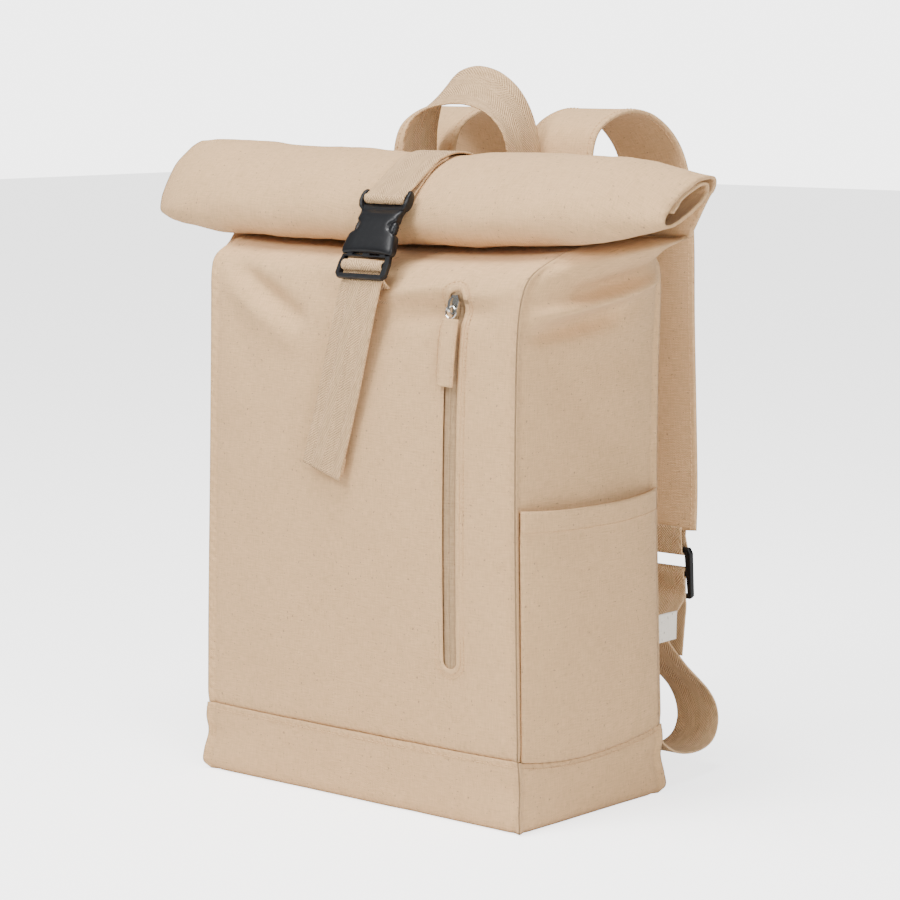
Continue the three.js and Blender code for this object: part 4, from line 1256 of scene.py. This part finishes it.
    def ear(self, mesh: ClothMesh, side: int) -> None:
        """An ear of the socket, which holds the bar's end."""
        rings = []
        for y, x, half, tall in (
            (-9.0, 17.6, 1.2, 2.0),
            (-7.0, 19.2, 1.7, 3.2),
            (-3.0, 20.3, 1.55, 3.6),
            (1.0, 20.4, 1.5, 3.3),
            (4.0, 20.0, 1.5, 2.5),
            (5.6, 19.3, 1.3, 1.7),
            (6.2, 19.0, 0.6, 0.8),
        ):
            rings.append(
                [
                    self.buckle.point(
                        (side * x + half * math.copysign(abs(math.cos(a)) ** 0.5, math.cos(a))) * MM,
                        y * MM,
                        tall * MM * math.copysign(abs(math.sin(a)) ** 0.5, math.sin(a)),
                    )
                    for a in np.linspace(0, 2 * math.pi, 20, endpoint=False)
                ]
            )
        self.close(mesh, rings)

    def close(self, mesh: ClothMesh, rings: list[list[np.ndarray]]) -> None:
        """Adds a closed solid made of rings."""
        ids = mesh.grid(rings, [[(0.0, 0.0, 0.0)] * len(rings[0])] * len(rings), wrap=True)
        mesh.faces.append(tuple(reversed(ids[0])))
        mesh.faces.append(tuple(ids[-1]))

    def moulded_socket(self) -> bpy.types.Object:
        """The buckle's socket, with its ears, its bar and the prong's pads in its side notches."""
        mesh = ClothMesh()
        self.close(mesh, self.socket_rings())
        turn = np.linspace(0, 2 * math.pi, 18, endpoint=False)
        bar = [
            [self.buckle.point(x, 1.45 * MM * math.sin(a), 1.45 * MM * math.cos(a)) for a in turn]
            for x in np.linspace(-20 * MM, 20 * MM, 9)
        ]
        self.close(mesh, bar)
        for side in (-1, 1):
            self.ear(mesh, side)
            pad = []
            for t in np.linspace(-1, 1, 21):
                size = math.sqrt(max(0.0, 1 - t * t)) ** 0.7 + 0.02
                rib = 1 + 0.1 * math.cos(t * 16)
                centre = (self.buckle_width / 2 * 0.85 - 3.3 * MM) * side
                pad.append(
                    [
                        self.buckle.point(
                            centre + 2.7 * MM * size * rib * math.cos(a),
                            (-0.53 * self.socket_length) + 5.4 * MM * t,
                            3.0 * MM * size * math.sin(a),
                        )
                        for a in turn
                    ]
                )
            self.close(mesh, pad)
        piece = mesh.build("moulded_socket", self.finish.plastic, "black_plastic", "buckle_socket")
        LOG.info("made %s", piece.name)
        return piece

    def dress_buckle(self) -> None:
        """Makes the socket, and rounds the prong's edges."""
        self.moulded_socket()
        dress_node("buckle_prong", self.finish.plastic, 0.8 * MM)

    def make(self) -> None:
        """Builds the closure's pieces."""
        for piece in (self.upper(), self.lower()):
            LOG.info("made %s", piece.name)
        self.dress_buckle()


def dress_node(name: str, material: bpy.types.Material, rounding: float) -> None:
    """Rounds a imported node's edges and gives it a finish.

    Args:
        name: the node.
        material: its finish.
        rounding: the width of the rounded edge.
    """
    node = bpy.data.objects[name]
    for i in range(len(node.material_slots)):
        node.material_slots[i].link = "OBJECT"
        node.material_slots[i].material = material
    bevel = node.modifiers.new("rounded", "BEVEL")
    bevel.width = rounding
    bevel.segments = 3
    bevel.limit_method = "ANGLE"
    bevel.angle_limit = math.radians(28)
    bevel.harden_normals = False
    LOG.info("dressed %s", name)


@dataclass
class Zip:
    """The front pocket's zip: tape, covered teeth, slider, ring and canvas puller."""

    form: BagForm
    finish: Finishes
    centre: float = 88 * MM
    bottom: float = 103 * MM
    top: float = 358 * MM
    width: float = 14 * MM
    rib: float = 5 * MM

    def inside(self, x: float, z: float) -> bool:
        """Whether a point of the front panel lies in the zip's opening."""
        reach = self.width / 2
        end = 0.0
        if z > self.top - reach:
            end = z - (self.top - reach)
        elif z < self.bottom + reach:
            end = self.bottom + reach - z
        return math.hypot(x - self.centre, end) < reach

    def outline(self, out: float, count: int = 24) -> list[tuple[float, float]]:
        """Points round the opening, at a distance outside its edge."""
        reach = self.width / 2
        points = []
        for i in range(count + 1):
            a = math.pi * i / count
            points.append((self.centre + (reach + out) * math.cos(a), self.top - reach + (reach + out) * math.sin(a)))
        steps = 90
        for i in range(1, steps):
            points.append((self.centre - reach - out, mix(self.top - reach, self.bottom + reach, i / steps)))
        for i in range(count + 1):
            a = math.pi + math.pi * i / count
            points.append((self.centre + (reach + out) * math.cos(a), self.bottom + reach + (reach + out) * math.sin(a)))
        for i in range(1, steps):
            points.append((self.centre + reach + out, mix(self.bottom + reach, self.top - reach, i / steps)))
        return points

    def welt(self) -> bpy.types.Object:
        """The turned edge of the canvas round the zip, with its row of stitches."""
        mesh = ClothMesh()
        path = self.outline(0.2 * MM)
        rings, cloth, run = [], [], 0.0
        for i, (x, z) in enumerate(path):
            nx, nz = path[(i + 1) % len(path)][0] - path[i - 1][0], path[(i + 1) % len(path)][1] - path[i - 1][1]
            side = unit(vec(nz, 0, -nx))
            out = self.form.normal(self.form.front, x, z, vec(0, -1, 0))
            base = self.form.front(x, z)
            run += math.hypot(nx, nz) / 2
            ring = []
            for a in np.linspace(0, 2 * math.pi, 10, endpoint=False):
                ring.append(base + side * 2.0 * MM * math.cos(a) + out * (0.95 * MM * math.sin(a) - 0.35 * MM))
            rings.append(ring)
            # The whole welt gets 0.4, so painted shade darkens it a little.
            cloth.append([(2.0 * MM * math.cos(a), run, 0.4) for a in np.linspace(0, 2 * math.pi, 10, endpoint=False)])
        rings.append(rings[0])
        cloth.append(cloth[0])
        mesh.grid(rings, cloth, wrap=True)
        sewn = self.outline(4.6 * MM)
        sewn.append(sewn[0])
        points = [self.form.front(x, z) for x, z in sewn]
        normals = [self.form.normal(self.form.front, x, z, vec(0, -1, 0)) for x, z in sewn]
        Thread(pitch=3.0 * MM, length=2.3 * MM).sew(mesh, points, normals)
        return mesh.build("zip_welt", self.finish.canvas, "canvas")

    def tape(self) -> bpy.types.Object:
        """The zip's tape, with the covered teeth as two ribs down its middle."""
        mesh = ClothMesh()
        edge, rib = self.width / 2 - 0.3 * MM, self.rib / 2
        xs = [-edge, -rib * 1.3, -rib, -rib * 0.75, -rib * 0.4, -0.25 * MM, -0.1 * MM]
        xs += [-x for x in reversed(xs)]
        ds = [1.3, 1.3, 1.0, 0.6, 0.5, 0.7, 1.25]
        ds += list(reversed(ds))
        rows, cloth = [], []
        for z in np.linspace(self.bottom + 0.3 * MM, self.top - 0.3 * MM, 170):
            rows.append([self.form.front(self.centre + x, z) + vec(0, d * MM, 0) for x, d in zip(xs, ds)])
            # The middle over the covered teeth gets 0.6, so painted shade darkens it.
            cloth.append([(x, z, 0.6 if abs(x) < rib else 0.0) for x in xs])
        shell(mesh, rows, cloth, 0.7 * MM)
        return mesh.build("zip_tape_cloth", self.finish.tape, "zip_tape", "zip_tape")

    def make(self) -> None:
        """Builds the zip's pieces."""
        for piece in (self.welt(), self.tape()):
            LOG.info("made %s", piece.name)
        dress_node("zip_slider", self.finish.nickel, 0.35 * MM)
        dress_node("zip_ring", self.finish.nickel, 0.1 * MM)
        self.puller()

    def puller(self) -> bpy.types.Object:
        """The canvas puller, folded over the ring and stitched along its edges."""
        low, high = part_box("zip_puller")
        mesh = ClothMesh()
        x = (low[0] + high[0]) / 2
        wide = high[0] - low[0]
        top = vec(x, (low[1] + high[1]) / 2 + 1.6 * MM, high[2] - 2.2 * MM)
        foot = vec(x - 1.5 * MM, low[1] + 1.0 * MM, low[2] + 0.3 * MM)
        middle = (top + foot) / 2 + vec(0, -0.8 * MM, 0)
        rows = strip_rows([foot, middle, top], [ACROSS] * 3, 1.2 * MM)
        turned = [Row(r.at, r.wide, -r.normal, r.scale) for r in rows]
        strip(mesh, turned, wide, 1.9 * MM)
        for side in (-1, 1):
            path = [r.at + r.wide * side * (wide / 2 - 1.8 * MM) + vec(0, -0.95 * MM, 0) for r in rows]
            Thread(pitch=2.6 * MM, length=2.0 * MM, radius=0.22 * MM).sew(mesh, path, [vec(0, -1, 0)] * len(path))
        piece = mesh.build("zip_puller_tab", self.finish.canvas, "canvas", "zip_puller")
        LOG.info("made %s", piece.name)
        return piece


@dataclass
class Handle:
    """The grab handle: a webbing loop whose width turns from across the bag to front-to-back."""

    form: BagForm
    finish: Finishes
    spread: float = 48 * MM
    top: float = 489 * MM
    y: float = 43 * MM
    turn: float = 47.0
    sewing: float = 24 * MM
    width: float = 36 * MM
    thick: float = 1.6 * MM
    lift: Table = Table(
        ("rise", "y", "turn"),
        ((0.03, 1.3, 8), (0.16, 1.12, 24), (0.34, 1.02, 48), (0.52, 1.0, 72), (0.66, 1.0, 90)),
    )

    def make(self) -> bpy.types.Object:
        """Builds the handle."""
        sewn = 0.955 * self.form.neck
        side: list[tuple[np.ndarray, float]] = []
        for share in (-1, -0.75, -0.5, -0.25, 0):
            side.append((self.form.on_back(self.spread, sewn + share * self.sewing, 1.5 * MM), 0.0))
        for rise, y, turn in self.lift.rows:
            z = mix(self.form.neck, self.top - self.spread, rise / 0.66)
            side.append((vec(self.spread, y * self.y, z), turn))

        def wide(turn: float, s: int) -> np.ndarray:
            return vec(-s * math.cos(math.radians(turn)), math.sin(math.radians(turn)), 0)

        points = [p for p, _ in side]
        wides = [wide(t, 1) for _, t in side]
        for i in range(1, 10):
            a = math.pi * i / 10
            tilt = math.radians(self.turn) * math.sin(a) ** 1.5
            points.append(
                vec(
                    self.spread * math.cos(a),
                    self.y - 4 * MM * math.sin(a),
                    self.top - self.spread * (1 - math.sin(a)),
                )
            )
            wides.append(vec(0, math.cos(tilt), math.sin(tilt)))
        for p, t in reversed(side):
            points.append(vec(-p[0], p[1], p[2]))
            wides.append(wide(t, -1))
        mesh = ClothMesh()
        strip(mesh, strip_rows(points, wides), self.width, self.thick)
        piece = mesh.build("handle_webbing", self.finish.webbing, "webbing", "grab_handle")
        LOG.info("made %s", piece.name)
        return piece


@dataclass
class Harness:
    """One shoulder strap with its loop, adjuster and lower webbing."""

    form: BagForm
    finish: Finishes
    side: int
    width: float = 58 * MM
    thick: float = 3 * MM
    centre: float = 62.5 * MM
    top: float = 471 * MM
    bottom: float = 172 * MM
    reach: float = 76 * MM
    flare: float = 32 * MM
    sewing: float = 30 * MM
    webbing: float = 36 * MM
    web_thick: float = 1.6 * MM
    loop: float = 22 * MM
    adjuster_length: float = 38 * MM
    adjuster_thick: float = 4 * MM
    bar: float = 3 * MM
    lean: float = -8.0
    anchor: float = 42 * MM
    lower_reach: float = 82 * MM
    tail: float = 36 * MM
    rows: Table = Table(
        ("rise", "back", "flare"),
        (
            (0.8, -0.13, 0.0),
            (0.885, -0.17, 0.0),
            (0.95, -0.09, 0.0),
            (0.985, 0.12, 0.02),
            (1.0, 0.4, 0.08),
            (0.98, 0.68, 0.2),
            (0.92, 0.9, 0.4),
            (0.83, 0.99, 0.58),
            (0.7, 1.0, 0.68),
            (0.5, 0.99, 0.74),
            (0.25, 0.98, 0.84),
            (0.1, 0.95, 0.93),
            (0.0, 0.9, 1.0),
        ),
    )
    lower: Table = Table(
        ("back", "height", "in"),
        (
            (0.0, 0.9, 0.0),
            (0.25, 0.58, 0.05),
            (0.6, 0.46, 0.15),
            (0.88, 0.56, 0.25),
            (1.0, 0.9, 0.35),
            (0.94, 1.35, 0.5),
            (0.63, 1.95, 0.65),
            (0.5, 2.45, 0.85),
        ),
    )

    @property
    def name(self) -> str:
        """The side's name."""
        return "right" if self.side > 0 else "left"

    def path(self) -> list[np.ndarray]:
        """The chosen points of the canvas strap's middle line, on the right-hand side."""
        touching = self.web_thick / 2 + 0.4 * MM
        over = touching + self.web_thick / 2 + 0.4 * MM + self.thick / 2 + 1.2 * MM
        base = 0.945 * self.form.neck
        points = [
            self.form.on_back(self.centre, base + share * self.sewing, over)
            for share in (-1, -0.8, -0.6, -0.4, -0.2, 0)
        ]
        for rise, back, flare in self.rows.rows:
            points.append(
                vec(
                    self.centre + flare * self.flare,
                    self.form.half_depth + back * self.reach,
                    self.bottom + rise * (self.top - self.bottom),
                )
            )
        return points

    def mirrored(self, mesh: ClothMesh) -> ClothMesh:
        """The mesh as it is on the right, and turned over for the left."""
        if self.side < 0:
            mesh.points[:] = [p * vec(-1, 1, 1) for p in mesh.points]
            mesh.faces[:] = [tuple(reversed(f)) for f in mesh.faces]
        return mesh

    @property
    def adjuster(self) -> Lean:
        """The adjuster's frame, with its origin in the middle bar."""
        end = self.path()[-1]
        pitch = (self.adjuster_length - self.bar) / 2
        turn = self.bar / 2 * math.sqrt(2) + self.web_thick / 2 + 0.3 * MM
        down = self.loop + pitch - turn - 6 * MM
        a = math.radians(self.lean)
        return Lean(end - vec(0, math.sin(a), math.cos(a)) * down, self.lean)

    def strap(self) -> bpy.types.Object:
        """The canvas strap with a row of stitches along each edge."""
        points = self.path()
        rows = strip_rows(points, [ACROSS] * len(points), 3 * MM)
        mesh = ClothMesh()
        strip(mesh, rows, self.width, self.thick, 16)
        for face in Face:
            for edge in (-1, 1):
                line = [
                    r.at + r.wide * edge * (self.width / 2 - 4 * MM) + r.normal * face.value * self.thick / 2
                    for r in rows
                ]
                Thread().sew(mesh, line, [r.normal * face.value for r in rows])
        return self.mirrored(mesh).build(
            f"canvas_strap_{self.name}", self.finish.canvas, "canvas", f"shoulder_strap_{self.name}"
        )

    def end_loop(self) -> bpy.types.Object:
        """The webbing loop that joins the strap to the adjuster's top bar."""
        top = (self.adjuster_length - self.bar) / 2
        upper, end = self.path()[-2:]
        touching = self.web_thick / 2 + 0.4 * MM
        inner = self.thick / 2 + touching
        a0 = upper + vec(0, inner, 0)
        a1 = end + vec(0, inner, 0)
        points = [a0 + (a1 - a0) * 0.35, a1, a1 + vec(0, -0.2 * MM, -3 * MM)]
        r = self.adjuster_thick / 2 + self.web_thick / 2 + 0.8 * MM
        for turn in (150, 190, 230, 270, 310, 350, 30):
            a = math.radians(turn)
            points.append(self.adjuster.point(0, top + r * math.sin(a), r * math.cos(a)))
        points.append(vec(end[0], end[1] - inner, end[2] - 1 * MM))
        points.append(vec(end[0], end[1] - inner, end[2] + 4 * MM))
        for p in points:
            p[0] = end[0]
        mesh = ClothMesh()
        strip(mesh, strip_rows(points, [ACROSS] * len(points), 1.5 * MM), self.webbing, self.web_thick)
        return self.mirrored(mesh).build(
            f"end_loop_{self.name}", self.finish.webbing, "webbing", f"strap_loop_{self.name}"
        )

    def lower_web(self) -> bpy.types.Object:
        """The webbing from the base corner to the adjuster, with its tail."""
        anchor_x = self.form.half_width - self.webbing / 2 - 2 * MM
        touching = self.web_thick / 2 + 0.4 * MM
        end = self.path()[-1]
        points = [self.form.on_back(anchor_x, self.anchor + 14 * MM, touching + 0.4 * MM)]
        for back, height, inwards in self.lower.rows:
            points.append(
                vec(
                    mix(anchor_x, end[0], inwards),
                    self.form.half_depth + 3 * MM + back * self.lower_reach,
                    self.anchor * height,
                )
            )
        pitch = (self.adjuster_length - self.bar) / 2
        r = self.adjuster_thick / 2 + self.web_thick / 2 + 0.8 * MM
        behind = self.adjuster_thick / 2 + touching
        frame = self.adjuster
        points.append(frame.point(0, -pitch, behind + self.web_thick + 0.4 * MM))
        for turn in (-20, 20, 60, 100, 140, 180, 220, 260, 295):
            a = math.radians(turn)
            points.append(frame.point(0, r * math.sin(a), r * math.cos(a)))
        points.append(frame.point(0, -pitch, behind))
        hang = frame.point(0, -pitch - 6 * MM, behind)
        for share in (0, 0.3, 0.65, 1):
            points.append(hang + vec(0, -share * self.tail * 0.12, -share * self.tail))
        mesh = ClothMesh()
        strip(mesh, strip_rows(points, [ACROSS] * len(points)), self.webbing, self.web_thick)
        return self.mirrored(mesh).build(
            f"lower_strap_{self.name}", self.finish.webbing, "webbing", f"lower_webbing_{self.name}"
        )

    def make(self) -> None:
        """Builds the strap's pieces."""
        for piece in (self.strap(), self.end_loop(), self.lower_web()):
            LOG.info("made %s", piece.name)
        dress_node(f"strap_adjuster_{self.name}", self.finish.plastic, 0.6 * MM)


@dataclass
class Label:
    """The plain label folded into the rear seam."""

    finish: Finishes

    def make(self) -> bpy.types.Object:
        """Builds the label."""
        low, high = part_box("side_label")
        x, z0, z1 = (low[0] + high[0]) / 2, low[2], high[2]
        rows, cloth = [], []
        for z in np.linspace(z0, z1, 16):
            row = []
            for y in np.linspace(low[1], high[1], 20):
                t = (y - low[1]) / (high[1] - low[1])
                row.append(vec(x + 1.2 * MM * math.sin(t * 2.2 + z * 30) * t, y, z))
            rows.append(row)
            cloth.append([(p[1], p[2], 0.0) for p in row])
        mesh = ClothMesh()
        shell(mesh, rows, cloth, 0.8 * MM)
        piece = mesh.build("bare_label", self.finish.label, "label", "side_label")
        LOG.info("made %s", piece.name)
        return piece


@dataclass
class Studio:
    """The floor, the lights and the camera."""

    azimuth: float = 40.85
    elevation: float = 7.56
    distance: float = 2.085
    target: tuple[float, float, float] = (0.0177, 0.0, 0.2376)
    lens: float = 120.0

    def camera(self) -> None:
        """Places the camera at the photograph's angle."""
        a, e = math.radians(self.azimuth), math.radians(self.elevation)
        back = Vector((math.sin(a) * math.cos(e), -math.cos(a) * math.cos(e), math.sin(e)))
        data = bpy.data.cameras.new("camera")
        data.lens = self.lens
        data.sensor_width = 36.0
        data.clip_end = 20.0
        camera = bpy.data.objects.new("camera", data)
        bpy.context.scene.collection.objects.link(camera)
        camera.location = Vector(self.target) + back * self.distance
        camera.rotation_euler = (-back).to_track_quat("-Z", "Y").to_euler()
        bpy.context.scene.camera = camera

    def light(self, name: str, place: tuple[float, float, float], size: float, power: float) -> None:
        """One soft rectangular light aimed at the bag's middle."""
        data = bpy.data.lights.new(name, "AREA")
        data.shape = "SQUARE"
        data.size = size
        data.energy = power
        lamp = bpy.data.objects.new(name, data)
        bpy.context.scene.collection.objects.link(lamp)
        lamp.location = place
        lamp.rotation_euler = (Vector((0, 0, 0.22)) - Vector(place)).to_track_quat("-Z", "Y").to_euler()

    def make(self) -> None:
        """Builds the studio."""
        self.camera()
        world = bpy.data.worlds.new("studio")
        bpy.context.scene.world = world
        world.use_nodes = True
        n = Nodes(world.node_tree)
        sky = world.node_tree.nodes["Background"]
        sky.inputs[0].default_value = (1, 1, 1, 1)
        seen = n.add("ShaderNodeLightPath").outputs["Is Camera Ray"]
        n.join(n.math("ADD", n.math("MULTIPLY", seen, 4.0), 0.3), sky.inputs[1])
        self.light("key", (-0.5, -1.9, 1.9), 1.0, 56)
        self.light("top", (0.1, -0.5, 2.3), 0.9, 64)
        self.light("fill", (2.3, -1.0, 1.1), 1.2, 46)
        mesh = bpy.data.meshes.new("floor")
        reach = 8.0
        mesh.from_pydata([(-reach, -reach, 0), (reach, -reach, 0), (reach, reach, 0), (-reach, reach, 0)], [], [(0, 1, 2, 3)])
        floor = bpy.data.objects.new("floor", mesh)
        bpy.context.scene.collection.objects.link(floor)
        finish = bpy.data.materials.new("floor")
        finish.use_nodes = True
        shader = finish.node_tree.nodes["Principled BSDF"]
        shader.inputs["Base Color"].default_value = (0.95, 0.95, 0.95, 1)
        shader.inputs["Roughness"].default_value = 0.6
        # The floor is seen as bright as the wall, and lights nothing by it.
        n = Nodes(finish.node_tree)
        shader.inputs["Emission Color"].default_value = (1, 1, 1, 1)
        seen = n.add("ShaderNodeLightPath").outputs["Is Camera Ray"]
        n.join(n.math("MULTIPLY", seen, 2.4), shader.inputs["Emission Strength"])
        mesh.materials.append(finish)


def main() -> None:
    """Loads the frame, dresses the bag and sets the studio."""
    logging.basicConfig(level=logging.INFO, format="%(name)s: %(message)s")
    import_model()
    neck, boot = (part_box(node)[1][2] for node in ("body_shell", "base_boot"))
    form = BagForm(half_width=145 * MM, half_depth=77 * MM, neck=neck, boot=boot)
    finish = Finishes.make()
    zip_fastener = Zip(form, finish)
    Canvas(form, finish).make(zip_fastener)
    roll = Roll(form, finish, half_length=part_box("rolled_top")[1][0])
    roll.make()
    Closure(form, roll, finish).make()
    zip_fastener.make()
    Handle(form, finish).make()
    for side in (1, -1):
        Harness(form, finish, side).make()
    Label(finish).make()
    Studio().make()


if __name__ == "__main__":
    main()
